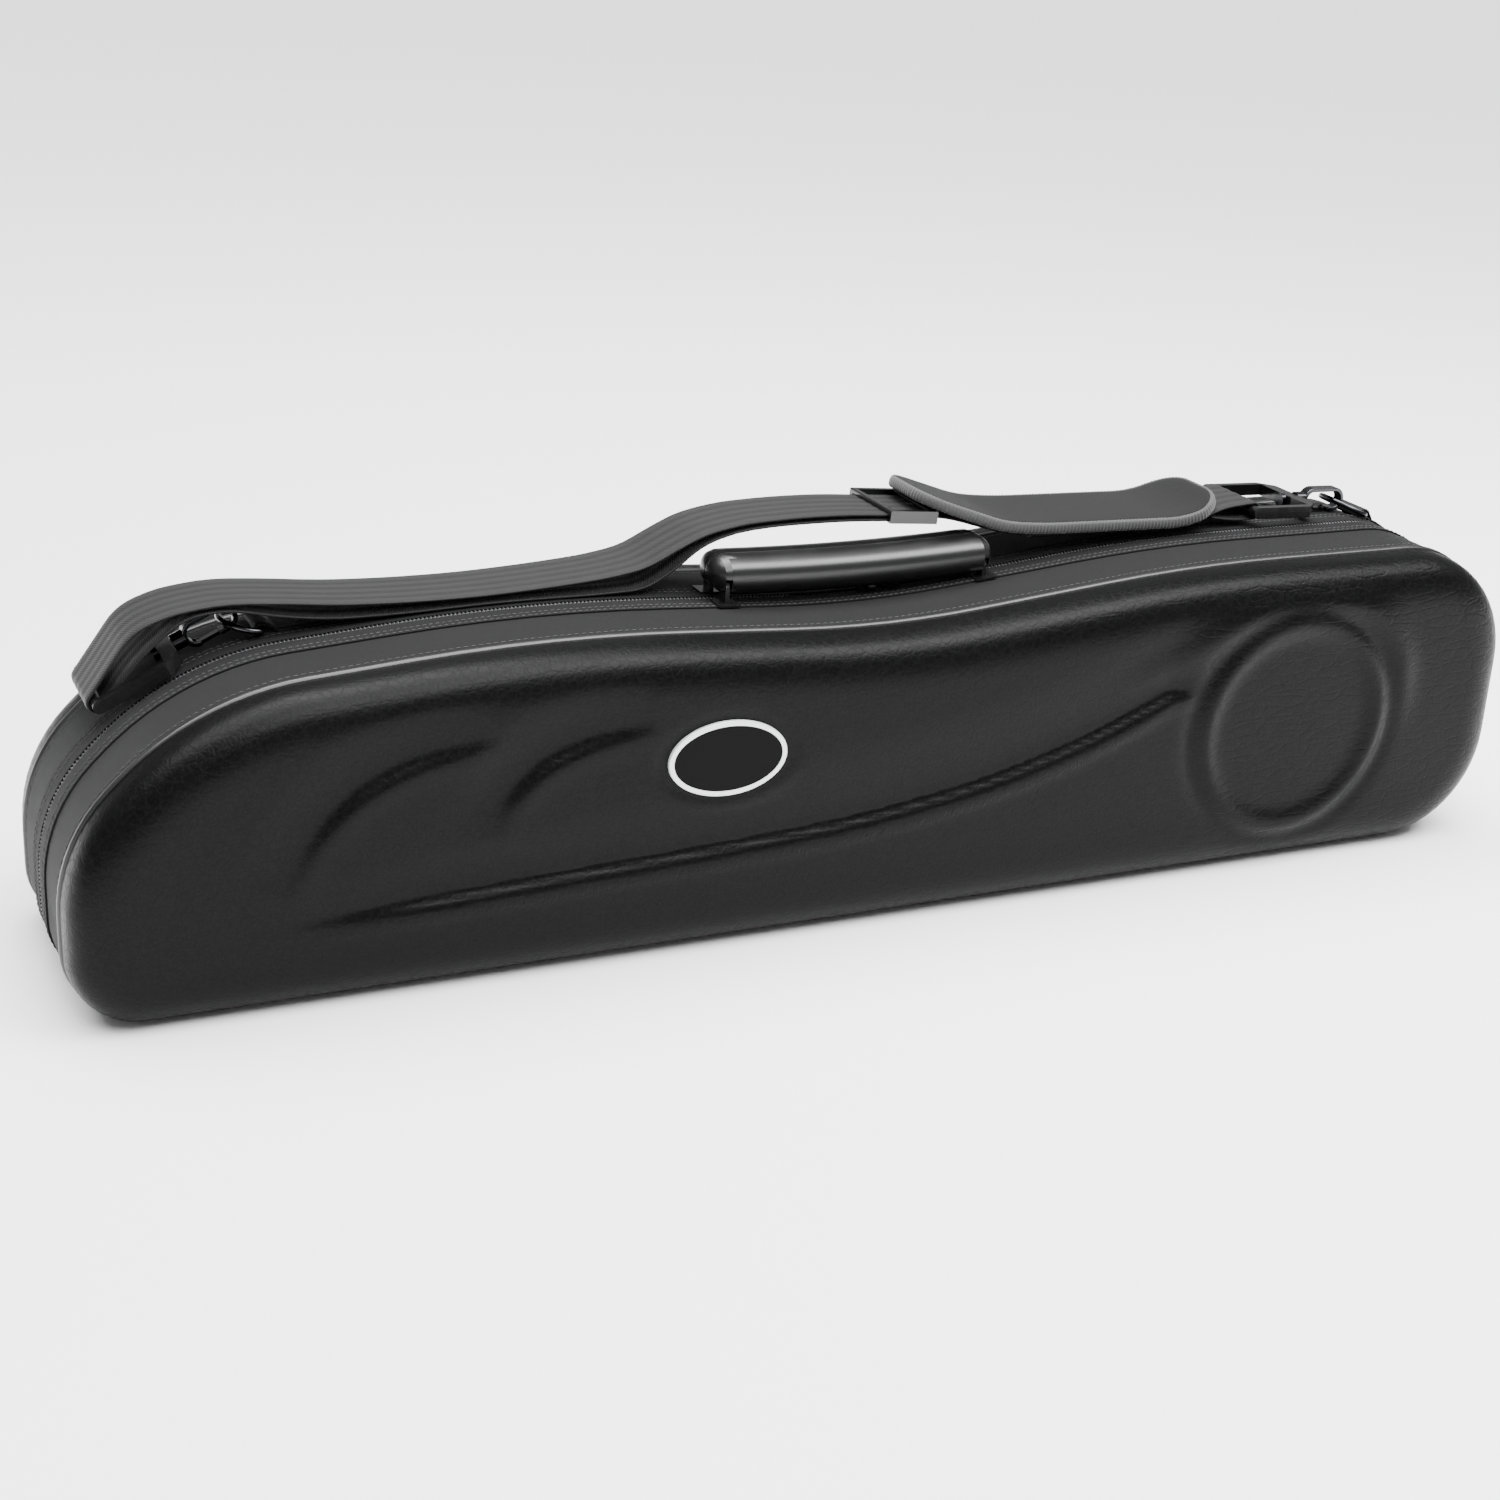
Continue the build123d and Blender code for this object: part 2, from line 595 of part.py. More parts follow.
def snap_hook():
    """Bent hook with a turned shank that is held in its swivel loop."""
    hook = upright(hook_slot(HOOK_BAR) - hook_slot(0), HOOK_THICKNESS)
    rims = hook.edges().filter_by(lambda e: abs(abs(e.center().Y) - HOOK_THICKNESS / 2) < 0.01)
    hook = fillet(rims, HOOK_BAR / 4)
    gap_end = GATE_PIVOT - HOOK_BAR / 2 - GATE_CLEARANCE
    reach = HOOK_INNER + HOOK_BAR + 1
    hook -= box(GATE_START, gap_end, -HOOK_THICKNESS, HOOK_THICKNESS, 0.5, reach)
    cheek = GATE_WIDTH / 2 + GATE_CLEARANCE
    hook -= box(gap_end - 1, GATE_PIVOT + HOOK_BAR / 2 + 2 * GATE_CLEARANCE, -cheek, cheek, 0.5, reach)
    hook -= gate_pin(GATE_PIN_RADIUS, HOOK_THICKNESS + 2)
    tail = HOOK_TAIL + HOOK_BAR
    collar_end = LOOP_START - GATE_CLEARANCE
    hook += along_x(tail - 1, collar_end, SHANK_COLLAR)
    head = LOOP_START + LOOP_BOSS + GATE_CLEARANCE
    hook += along_x(collar_end, head, SHANK_RADIUS)
    return hook + along_x(head, head + SHANK_HEAD_LENGTH, SHANK_HEAD)


def snap_gate():
    """Sprung gate that closes the hook's mouth."""
    x, z = gate_place()
    eye = Pos(x, z) * Circle(HOOK_BAR / 2)
    start = GATE_START + GATE_CLEARANCE
    lever = Pos((start + x) / 2, z) * Rectangle(x - start, HOOK_BAR - 2 * GATE_CLEARANCE)
    gate = upright(eye + lever, GATE_WIDTH)
    return gate - gate_pin(GATE_PIN_RADIUS + PIVOT_CLEARANCE, GATE_WIDTH + 2)


def swivel_loop():
    """Moulded loop that the strap passes round, with a boss for the shank."""
    half_width = STRAP_WIDTH / 2 + LOOP_SIDE_GAP
    outer_half = half_width + LOOP_ARM
    length = LOOP_REACH - LOOP_START
    plan = Pos(LOOP_START + length / 2) * Rectangle(length, 2 * outer_half)
    plan = chamfer(plan.vertices().group_by(Axis.X)[0], LOOP_ARM + LOOP_BOSS / 2)
    hole_start = LOOP_START + LOOP_BOSS
    plan -= Pos((hole_start + LOOP_REACH) / 2) * Rectangle(LOOP_REACH - hole_start, 2 * half_width)
    loop = extrude(plan, amount=LOOP_HEIGHT / 2, both=True)
    bar = Pos(LOOP_REACH, 0, 0) * Rot(90, 0, 0) * Cylinder(BAR_RADIUS, 2 * outer_half)
    return loop + bar - along_x(0, LOOP_REACH / 2, SHANK_RADIUS + PIVOT_CLEARANCE)


def ring_frame(ring, drop):
    """Frame of a ring: x from its bar towards the hook, origin where the hook holds it."""
    return Pos(ring[0], STRAP_Y, ring[1]) * Rot(0, drop - 180, 0)


def ring_bar(ring, drop):
    """Centre of a ring's straight bar as (x, z)."""
    reach = RING_WIDTH / 2
    angle = math.radians(drop)
    return (ring[0] + reach * math.cos(angle), ring[1] - reach * math.sin(angle))


def d_ring():
    """Bent wire ring with one straight side."""
    radius = RING_WIDTH / 2
    face = Circle(radius) & Pos(radius / 2) * Rectangle(radius, RING_WIDTH)
    face = fillet(face.vertices(), RING_CORNER)
    path = Pos(-radius) * face.face().outer_wire()
    start = Plane(origin=path @ 0, z_dir=path % 0)
    return sweep(start * Circle(RING_WIRE), path=path)


def ring_tab(ring, drop):
    """Webbing tab sewn to the gusset, folded round the ring's bar."""
    x, z = ring_bar(ring, drop)
    y0, y1 = STRAP_Y - TAB_WIDTH / 2, STRAP_Y + TAB_WIDTH / 2
    inner = RING_WIRE + PIVOT_CLEARANCE
    place = Pos(x, STRAP_Y, z) * Rot(90, 0, 0)
    tab = place * Cylinder(inner + TAB_THICKNESS, TAB_WIDTH)
    tab += on_gusset(2 * TAB_THICKNESS, x, x + TAB_LENGTH, y0, y1)
    tab -= slab(0, -GUSSET_DEPTH, EDGE + COIL_WIDTH + TAPE_WIDTH)
    tab -= slab(GUSSET_INSET, -GUSSET_DEPTH, GUSSET_DEPTH)
    return tab - place * Cylinder(inner, TAB_WIDTH + 2)


def ribbon(points, radii, thickness, width):
    """Flat band of webbing whose middle line is a filleted polyline in (x, z)."""
    def side(offset):
        moved = [Vector(*p) for p in points]
        result, bends = [], []
        for k, point in enumerate(moved):
            before = (point - moved[k - 1]).normalized() if k else None
            after = (moved[k + 1] - point).normalized() if k + 1 < len(moved) else before
            before = before or after
            turn = before.X * after.Y - before.Y * after.X
            cosine = before.X * after.X + before.Y * after.Y
            normals = Vector(-before.Y - after.Y, before.X + after.X)
            result.append(point + normals * (offset / (1 + cosine)))
            if 0 < k < len(moved) - 1:
                bends.append(radii[k - 1] - offset * math.copysign(1, turn))
        return FilletPolyline(*[(p.X, p.Y) for p in result], radius=bends)
    left, right = side(thickness / 2), side(-thickness / 2)
    ends = [Line(left @ 0, right @ 0), Line(left @ 1, right @ 1)]
    face = make_face(Curve() + [left, right] + ends)
    return Pos(0, STRAP_Y, 0) * upright(face, width)


def bend_radii(points, fixed):
    """Radius of each corner: nearly half of the shorter run, or the fixed wrap radius."""
    radii = []
    for before, here, after in zip(points, points[1:], points[2:]):
        a = Vector(*here) - Vector(*before)
        b = Vector(*after) - Vector(*here)
        turn = math.radians(a.get_angle(b))
        radius = SOFT_BEND * min(a.length, b.length) / math.tan(turn / 2)
        radii.append(fixed if here in wrap_corners() else radius)
    return radii


def loop_bar(ring, angle):
    """Centre of a swivel loop's bar as (x, z)."""
    turn = math.radians(angle)
    return (ring[0] + LOOP_REACH * math.cos(turn), ring[1] + LOOP_REACH * math.sin(turn))


def wrap_radius():
    """Radius of the webbing's middle line round a loop's bar."""
    return BAR_RADIUS + BAR_FIT + STRAP_THICKNESS / 2


def left_wrap():
    """Route round the left bar: down inside the loop, then up outside it."""
    x, z = loop_bar(LEFT_RING, LEFT_HOOK_ANGLE)
    r = wrap_radius()
    turn = math.radians(LEFT_WRAP_ANGLE)
    dx, dz = math.cos(turn), math.sin(turn)
    near = (x + r * dz, z - r * dx)
    far = (x - r * dz, z + r * dx)
    return [
        (near[0] + LEAD_IN * dx, near[1] + LEAD_IN * dz),
        (near[0] - r * dx, near[1] - r * dz),
        (far[0] - r * dx, far[1] - r * dz),
        (far[0] + LEAD_OUT * dx, far[1] + LEAD_OUT * dz),
    ]


def right_wrap():
    """Route round the right bar: over it, through the loop and back beneath."""
    x, z = loop_bar(RIGHT_RING, RIGHT_HOOK_ANGLE)
    r = wrap_radius()
    return [(x + r, z + r), (x + r, z - r)]


def wrap_corners():
    """Corners of the route that lie round the two bars."""
    return left_wrap()[1:3] + right_wrap()


def strap_webbing():
    """The whole length of webbing, from the adjuster round both loops."""
    run = Vector(*ADJUSTER_RUN[1]) - Vector(*ADJUSTER_RUN[0])
    share = (ADJUSTER_X - ADJUSTER_CENTRE_BAR / 2 - ADJUSTER_GAP - ADJUSTER_RUN[0][0]) / run.X
    end = Vector(*ADJUSTER_RUN[0]) + run * share - Vector(0, LAYER_PITCH)
    route = [(end.X, end.Y)] + RETURN_ROUTE + left_wrap() + MAIN_ROUTE + ADJUSTER_RUN + PAD_ROUTE
    route += right_wrap() + TAIL_ROUTE
    return ribbon(route, bend_radii(route, wrap_radius() - WRAP_TRIM), STRAP_THICKNESS, STRAP_WIDTH)


def adjuster():
    """Three-bar slide: end bars over the main layer, centre bar under it."""
    low, high = Vector(*ADJUSTER_RUN[0]), Vector(*ADJUSTER_RUN[1])
    run = high - low
    z = low.Y + run.Y * (ADJUSTER_X - low.X) / run.X
    lift = STRAP_THICKNESS / 2 + ADJUSTER_GAP
    reach, width = ADJUSTER_LENGTH / 2, STRAP_WIDTH / 2 + ADJUSTER_GAP
    top = lift + ADJUSTER_BAR_THICKNESS
    frame = Part()
    for side in (-1, 1):
        frame += box(-reach, reach, *sorted((side * width, side * (width + ADJUSTER_RAIL))), -top, top)
        ends = sorted((side * reach, side * (reach - ADJUSTER_BAR)))
        frame += box(*ends, -width, width, lift, top)
    frame += box(-ADJUSTER_CENTRE_BAR / 2, ADJUSTER_CENTRE_BAR / 2, -width, width, -top, -lift)
    frame = fillet(frame.edges().filter_by(Axis.Y).group_by(Axis.Z)[-1], ADJUSTER_BAR_THICKNESS / 3)
    return Pos(ADJUSTER_X, STRAP_Y, z) * Rot(0, -math.degrees(math.atan2(run.Y, run.X)), 0) * frame


def shoulder_pad():
    """Long soft pad that rides on the strap, turned up at both ends."""
    body = ribbon(PAD_LINE, bend_radii(PAD_LINE, 0), PAD_THICKNESS, PAD_WIDTH)
    size = body.bounding_box()
    plan = RectangleRounded(size.size.X - 0.1, PAD_WIDTH, PAD_END_RADIUS)
    return body & Pos(size.center().X, STRAP_Y, 0) * extrude(plan, amount=2 * BELL_HEIGHT)


def pad_keepers():
    """Two webbing sleeves under the pad that the strap runs through."""
    start, end = Vector(*PAD_ROUTE[1]), Vector(*PAD_ROUTE[2])
    run = end - start
    inner = STRAP_THICKNESS / 2 + KEEPER_FIT
    pad = Vector(*PAD_LINE[4]), Vector(*PAD_LINE[5])
    keepers = Part()
    for x in KEEPER_PLACES:
        z = start.Y + run.Y * (x - start.X) / run.X
        pad_z = pad[0].Y + (pad[1].Y - pad[0].Y) * (x - pad[0].X) / (pad[1].X - pad[0].X)
        top = pad_z - PAD_THICKNESS / 2 - KEEPER_SEAT - z
        reach = STRAP_WIDTH / 2 + KEEPER_FIT
        wide, low = reach + KEEPER_THICKNESS, -inner - KEEPER_THICKNESS
        outer = box(-KEEPER_LENGTH / 2, KEEPER_LENGTH / 2, -wide, wide, low, top)
        hole = box(-KEEPER_LENGTH, KEEPER_LENGTH, -reach, reach, -inner, top - KEEPER_FIT)
        tilt = -math.degrees(math.atan2(run.Y, run.X))
        keepers += Pos(x, STRAP_Y, z) * Rot(0, tilt, 0) * (outer - hole)
    return keepers


def save(name, shape):
    """Writes one node as a STEP file."""
    export_step(shape, os.path.join(PART_FOLDER, name + ".step"))


def main():
    os.makedirs(PART_FOLDER, exist_ok=True)
    for side, name in ((-1, "front"), (1, "rear")):
        save(name + "_gusset", gusset(side))
        save(name + "_zip_tape", zip_tape(side))
        save(name + "_zip_coil", zip_coil(side))
        save(name + "_hinge_strip", hinge_strip(side))
        save(name + "_piping", piping(side))
        save(name + "_handle", handle(side))
        save(name + "_handle_pins", handle_pins(side))
        save(name + "_handle_lugs", handle_lugs(side))
    pressed = pressed_shell()
    save("front_shell", pressed - extrude(on_face(badge_outline(FIT)), amount=-BADGE_SEAT))
    save("rear_shell", mirror(pressed, about=Plane.XZ))
    save("badge_plate", badge_plate())
    save("badge_ring", badge_ring())
    save("lid_lining", lid_lining())
    save("rear_cradle", rear_cradle())
    for sign, name in ((-1, "left"), (1, "right")):
        save("zip_slider_" + name, zip_slider(sign))
        save("zip_pull_" + name, zip_pull(sign))
    ends = (
        ("left", LEFT_RING, LEFT_HOOK_ANGLE, LEFT_RING_DROP),
        ("right", RIGHT_RING, RIGHT_HOOK_ANGLE, RIGHT_RING_DROP),
    )
    for name, ring, angle, drop in ends:
        place = hook_frame(ring, angle)
        save("snap_hook_" + name, place * snap_hook())
        save("hook_gate_" + name, place * snap_gate())
        save("hook_pin_" + name, place * gate_pin(GATE_PIN_RADIUS, HOOK_THICKNESS))
        save("swivel_loop_" + name, place * swivel_loop())
        save("d_ring_" + name, ring_frame(ring, drop) * d_ring())
        save("ring_tab_" + name, ring_tab(ring, drop))
    save("strap_webbing", strap_webbing())
    save("strap_adjuster", adjuster())
    save("shoulder_pad", shoulder_pad())
    save("pad_keepers", pad_keepers())


main()
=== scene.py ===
"""Looks of a soprano saxophone case: moulded shells, woven gusset, zip, handle and shoulder strap."""

import math

import bpy
import bmesh
import numpy as np
from mathutils import Matrix, Vector, geometry, noise


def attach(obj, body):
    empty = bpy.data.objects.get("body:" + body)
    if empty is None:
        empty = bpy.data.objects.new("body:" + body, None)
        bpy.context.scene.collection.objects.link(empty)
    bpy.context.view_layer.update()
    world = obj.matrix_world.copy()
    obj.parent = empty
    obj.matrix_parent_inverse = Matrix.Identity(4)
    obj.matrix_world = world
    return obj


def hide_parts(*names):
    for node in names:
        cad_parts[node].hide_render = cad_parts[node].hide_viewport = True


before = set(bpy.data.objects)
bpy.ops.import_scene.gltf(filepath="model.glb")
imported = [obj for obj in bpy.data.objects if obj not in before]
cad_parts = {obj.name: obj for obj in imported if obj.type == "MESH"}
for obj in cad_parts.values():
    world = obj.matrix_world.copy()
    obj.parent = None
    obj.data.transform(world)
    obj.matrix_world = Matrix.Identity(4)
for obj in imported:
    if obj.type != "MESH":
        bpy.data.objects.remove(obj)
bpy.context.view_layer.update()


# The camera looks down on the case from its front left, at the height of a standing table
# shot, and sees the whole case with some of the floor around it.
MM = 0.001
EYE = Vector((-490.76, -959.23, 483.54)) * MM
EYE_RIGHT = Vector((0.9099, -0.4116, 0.0510))
EYE_UP = Vector((0.1075, 0.3527, 0.9296))
EYE_AHEAD = Vector((0.4006, 0.8404, -0.3651))
LENS = 56.3
SENSOR = 36.0

camera_data = bpy.data.cameras.new("camera")
camera_data.lens = LENS
camera_data.sensor_width = SENSOR
camera_data.clip_start = 0.05
camera_data.clip_end = 60.0
camera = bpy.data.objects.new("camera", camera_data)
bpy.context.scene.collection.objects.link(camera)
eye_axes = Matrix((EYE_RIGHT, EYE_UP, -EYE_AHEAD)).transposed()
camera.matrix_world = Matrix.Translation(EYE) @ eye_axes.to_4x4()
bpy.context.scene.camera = camera


# The two half shells: thermoformed board under black imitation leather, pressed with a ring
# in a groove over the bell, a ridge that runs into the long swoosh, and two crescents. The
# leather is pebbled, and it creases where it was pulled into the pressed lines.
LEATHER_BLACK = (0.0010, 0.0010, 0.0011, 1)
LEATHER_WORN = (0.0022, 0.0023, 0.0024, 1)
PEBBLE = 1.3 * MM
CREASE = 5.0 * MM
PUCKER = 2.6 * MM
LEATHER_RELIEF = 0.16 * MM
SWOOSH = [(-288, 40), (-180, 46), (-90, 50), (-10, 55), (60, 66), (115, 82), (158, 100)]
SWOOSH_EDGE = 7.0 * MM
PUCKER_BAND = 5.0 * MM
CURVE_TOP = 200
OUTLINE = [
    (-370, 0, 32), (370, 0, 58), (370, 157.5, 60), (182, 158.7, 1000),
    (12, 142.3, 600), (-153, 153, 900), (-310, 140.3, 130), (-370, 80.5, 76),
]
SMALLEST_RADIUS = 1.5
TURN_STEP = math.radians(7)
SIDE_STEP = 8.0
SOFT_BEND = 0.45
SHELL_LIP_Y = 48.6
SHELL_DEPTH = 25.0
SHELL_INSET = 1.0
SHELL_WALL = 3.0
SHOULDER_INSET = 25.0
SHOULDER_POWER = 1.5
SHOULDER_LEVELS = 20
RIM_PARTS = 3
FACE_PITCH = 2.0
FACE_MARGIN = 1.4
RELIEF_STARTS = (7, 21)
RING_MIDDLE = (233, 77)
RING_RADIUS = 53.0
RING_RISE = 2.2
RING_SOFT = 6.0
DISC_SINK = 0.3
GROOVE_SINK = 1.4
GROOVE_GAP = 8.0
GROOVE_SOFT = 5.0
RIDGE = [(112, 98), (160, 118), (200, 135), (240, 142), (275, 135), (296, 112), (300, 82), (292, 50)]
RIDGE_RISE = 2.2
RIDGE_SOFT = 8.5
RIDGE_ENDS = (0.22, 0.80)
SWOOSH_SINK = 3.1
SWOOSH_WALL = (-1.9, 2.6)
SWOOSH_FLOOR = 4
SWOOSH_FADE = 44.0
SWOOSH_NARROW = 0.55
SWOOSH_WIDENS = (-280, 60)
SWOOSH_STARTS = (-300, -200)
SWOOSH_STOPS = (152, 178)
CRESCENTS = [
    [(-279, 55), (-268, 78), (-250, 97), (-225, 109), (-184, 116)],
    [(-186, 70), (-182, 86), (-167, 101), (-144, 110), (-112, 114)],
]
CRESCENT_DEPTH = 2.6
CRESCENT_WALL = (-3.5, 2.5)
CRESCENT_FADE = (-30, -7)
LIP_RISE = 0.35
LIP_SOFT = 5.0
BADGE_MIDDLE = (-79, 96)
BADGE_REACH = (29, 18)
BADGE_DENT = 0.9
BADGE_SEAT = (1.08, 1.32)
BADGE_CLEAR = (1.15, 1.6)


class Wire:
    """A socket to write sums with: each operator adds its Math node."""

    def __init__(self, material, socket=None):
        self.material, self.socket = material, socket

    def node(self, kind, settings=None, sockets=None, out=0):
        """Adds a node of that type: its settings first, then its sockets' values or links."""
        tree = self.material.node_tree
        made = tree.nodes.new(kind)
        for name, value in (settings or {}).items():
            if name == "stops":
                ramp = made.color_ramp.elements
                while len(ramp) < len(value):
                    ramp.new(1.0)
                for element, (position, colour) in zip(ramp, value):
                    element.position, element.color = position, colour
            elif name == "curve":
                points = made.mapping.curves[0].points
                while len(points) < len(value):
                    points.new(0.5, 0.5)
                for point, location in zip(points, value):
                    point.location = location
                made.mapping.update()
            else:
                setattr(made, name, value)
        for key, value in (sockets or {}).items():
            if isinstance(value, Wire):
                tree.links.new(value.socket, made.inputs[key])
            else:
                made.inputs[key].default_value = value
        return Wire(self.material, made.outputs[out] if made.outputs else None)

    def sum(self, operation, *values):
        return self.node("ShaderNodeMath", {"operation": operation}, dict(enumerate(values)))

    def __add__(self, other):
        return self.sum("ADD", self, other)

    def __sub__(self, other):
        return self.sum("SUBTRACT", self, other)

    def __rsub__(self, other):
        return self.sum("SUBTRACT", other, self)

    def __mul__(self, other):
        return self.sum("MULTIPLY", self, other)

    def __truediv__(self, other):
        return self.sum("DIVIDE", self, other)

    def __rtruediv__(self, other):
        return self.sum("DIVIDE", other, self)

    __radd__ = __add__
    __rmul__ = __mul__


def new_finish(name):
    """A new material, as the wire that carries the piece's own coordinates in metres."""
    made = bpy.data.materials.new(name)
    made.use_nodes = True
    made.node_tree.nodes.clear()
    return Wire(made).node("ShaderNodeTexCoord", out="Object")


def close_finish(place, colour, roughness, height, relief, fixed=None):
    """Ends a material in its shader. Relief is the depth in metres of a height of one."""
    bump = place.node("ShaderNodeBump", {}, {"Height": height, "Distance": relief})
    sockets = {"Base Color": colour, "Roughness": roughness, "Normal": bump}
    shader = place.node("ShaderNodeBsdfPrincipled", {}, {**sockets, **(fixed or {})})
    place.node("ShaderNodeOutputMaterial", {}, {"Surface": shader})
    return place.material


def split(place):
    """The three coordinates of a place."""
    return [place.node("ShaderNodeSeparateXYZ", {}, {0: place}, out=i) for i in range(3)]


def speckle(place, size, detail=2.0, distortion=0.0):
    """Soft noise from 0 to 1 whose blotches have that size in metres."""
    sockets = {"Vector": place, "Scale": 1 / size, "Detail": detail, "Distortion": distortion}
    return place.node("ShaderNodeTexNoise", {}, sockets)


def cells(place, size, feature="F1"):
    """Distance to the nearest cell's middle or edge, for cells of that size in metres."""
    return place.node("ShaderNodeTexVoronoi", {"feature": feature}, {"Vector": place, "Scale": 1 / size})


def steps(wire, low, high):
    """A smooth rise from 0 to 1 as the wire goes from low to high."""
    settings = {"interpolation_type": "SMOOTHSTEP"}
    return wire.node("ShaderNodeMapRange", settings, {0: wire, 1: low, 2: high})


def mixed(share, first, second):
    """The first colour, turning into the second with the share."""
    return share.node("ShaderNodeMix", {"data_type": "RGBA"}, {0: share, 6: first, 7: second}, out=2)


def stretched(place, x, y, z):
    """The same place with its axes scaled."""
    return place.node("ShaderNodeVectorMath", {"operation": "MULTIPLY"}, {0: place, 1: (x, y, z)})


def wear(material, *objects):
    """Gives every slot of the objects that material."""
    for piece in objects:
        if not piece.material_slots:
            piece.data.materials.append(material)
        for place_on_piece in piece.material_slots:
            place_on_piece.material = material


def cad(*names):
    """The CAD nodes of those names."""
    return [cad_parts[name] for name in names]


skin = new_finish("imitation_leather")
skin_x, _, skin_z = split(skin)
wander_sockets = {"Vector": skin, "Scale": 1 / (9 * MM), "Detail": 3.0}
wander = skin.node("ShaderNodeTexNoise", {}, wander_sockets, out=1)
wandering = {0: wander, 1: (3 * MM,) * 3, 2: skin}
pulled = skin.node("ShaderNodeVectorMath", {"operation": "MULTIPLY_ADD"}, wandering)
pebbles = cells(pulled, PEBBLE)
creases = 1 - steps(cells(pulled, CREASE, "DISTANCE_TO_EDGE"), 0.0, 0.16)
long_cells = cells(stretched(pulled, 0.35, 1, 1.2), 6 * MM, "DISTANCE_TO_EDGE")
long_creases = 1 - steps(long_cells, 0.0, 0.12)
bell_end = steps(skin_x, 0.10, 0.22)
first_x, last_x = SWOOSH[0][0] * MM, SWOOSH[-1][0] * MM
span_x = last_x - first_x
swoosh_curve = [((x * MM - first_x) / span_x, z / CURVE_TOP) for x, z in SWOOSH]
swoosh_share = skin.node("ShaderNodeFloatCurve", {"curve": swoosh_curve}, {1: (skin_x - first_x) / span_x})
swoosh_at = swoosh_share * (CURVE_TOP * MM)
below = skin_z - swoosh_at + SWOOSH_EDGE
pucker_mask = 1 - steps(below.sum("ABSOLUTE", below), 0.0, PUCKER_BAND)
pucker_mask = pucker_mask * steps(skin_x, first_x, first_x + 0.03)
pucker_mask = pucker_mask * (1 - steps(skin_x, last_x - 0.02, last_x))
puckers = speckle(stretched(pulled, 1, 1, 0.5), PUCKER, 3.0, 1.5)
leather_height = pebbles * 0.30 + speckle(skin, 0.5 * MM) * 0.12 - creases * 0.16
leather_height = leather_height - long_creases * (0.12 + bell_end * 0.25)
leather_height = leather_height + puckers * pucker_mask * 3.0
leather = close_finish(
    skin,
    mixed(steps(pebbles, 0.2, 0.7), LEATHER_WORN, LEATHER_BLACK),
    0.30 + speckle(skin, 30 * MM) * 0.08 + creases * 0.08,
    leather_height,
    LEATHER_RELIEF,
    {"Specular IOR Level": 0.085},
)


def turn_at(before, here, after):
    """Signed turn at a corner, and the directions into and out of it."""
    inward, outward = (here - before).normalized(), (after - here).normalized()
    cross = inward.x * outward.y - inward.y * outward.x
    return math.atan2(cross, inward.dot(outward)), inward, outward


def rounded(points, radii, closed=False, counts=None, arc_counts=None):
    """Points along a polyline with rounded corners, and how many each side and arc got."""
    points = [Vector(p) for p in points]
    total = len(points)
    line, used, arcs = [], [], {}
    for k in range(total) if closed else range(1, total - 1):
        turn, inward, outward = turn_at(points[k - 1], points[k], points[(k + 1) % total])
        side = math.copysign(1, turn)
        start = points[k] - inward * (radii[k] * math.tan(abs(turn) / 2))
        centre = start + Vector((-inward.y, inward.x)) * side * radii[k]
        longest = math.ceil(abs(turn) * radii[k] / SIDE_STEP)
        count = arc_counts[k] if arc_counts else max(2, math.ceil(abs(turn) / TURN_STEP), longest)
        spoke = start - centre
        arcs[k] = [centre + Matrix.Rotation(turn * i / count, 2) @ spoke for i in range(count + 1)]
    for k in range(total):
        here = arcs.get(k, [points[k]])
        line += here
        following = (k + 1) % total
        if not closed and k == total - 1:
            break
        gap = arcs.get(following, [points[following]])[0] - here[-1]
        count = counts[len(used)] if counts else max(1, round(gap.length / SIDE_STEP))
        used.append(count)
        line += [here[-1] + gap * (i / count) for i in range(1, count)]
    return line, used, [len(arc) - 1 for arc in arcs.values()]


def outline_corners(inset):
    """Corners of the case's outline drawn in by the inset, with their radii, in millimetres."""
    points = [Vector((x, z)) for x, z, _ in OUTLINE]
    moved, radii = [], []
    for k, point in enumerate(points):
        turn, inward, outward = turn_at(points[k - 1], point, points[(k + 1) % len(points)])
        normals = Vector((-inward.y - outward.y, inward.x + outward.x))
        moved.append(point + normals * (inset / (1 + inward.dot(outward))))
        radii.append(max(OUTLINE[k][2] - inset * math.copysign(1, turn), SMALLEST_RADIUS))
    return moved, radii


SIDE_COUNTS, ARC_COUNTS = rounded(*outline_corners(0), closed=True)[1:]


def rim(inset):
    """The outline drawn in by the inset as (x, z) points, the same number for every inset."""
    return rounded(*outline_corners(inset), True, SIDE_COUNTS, ARC_COUNTS)[0]


def soft_radii(points, fixed, radius):
    """Radius at each point of a route: nearly half of the shorter run, or the fixed one."""
    points = [Vector(p) for p in points]
    radii = [0.0]
    for k in range(1, len(points) - 1):
        turn = abs(turn_at(points[k - 1], points[k], points[k + 1])[0])
        run = min((points[k] - points[k - 1]).length, (points[k + 1] - points[k]).length)
        radii.append(radius if k in fixed else SOFT_BEND * run / math.tan(max(turn, 1e-4) / 2))
    return radii + [0.0]


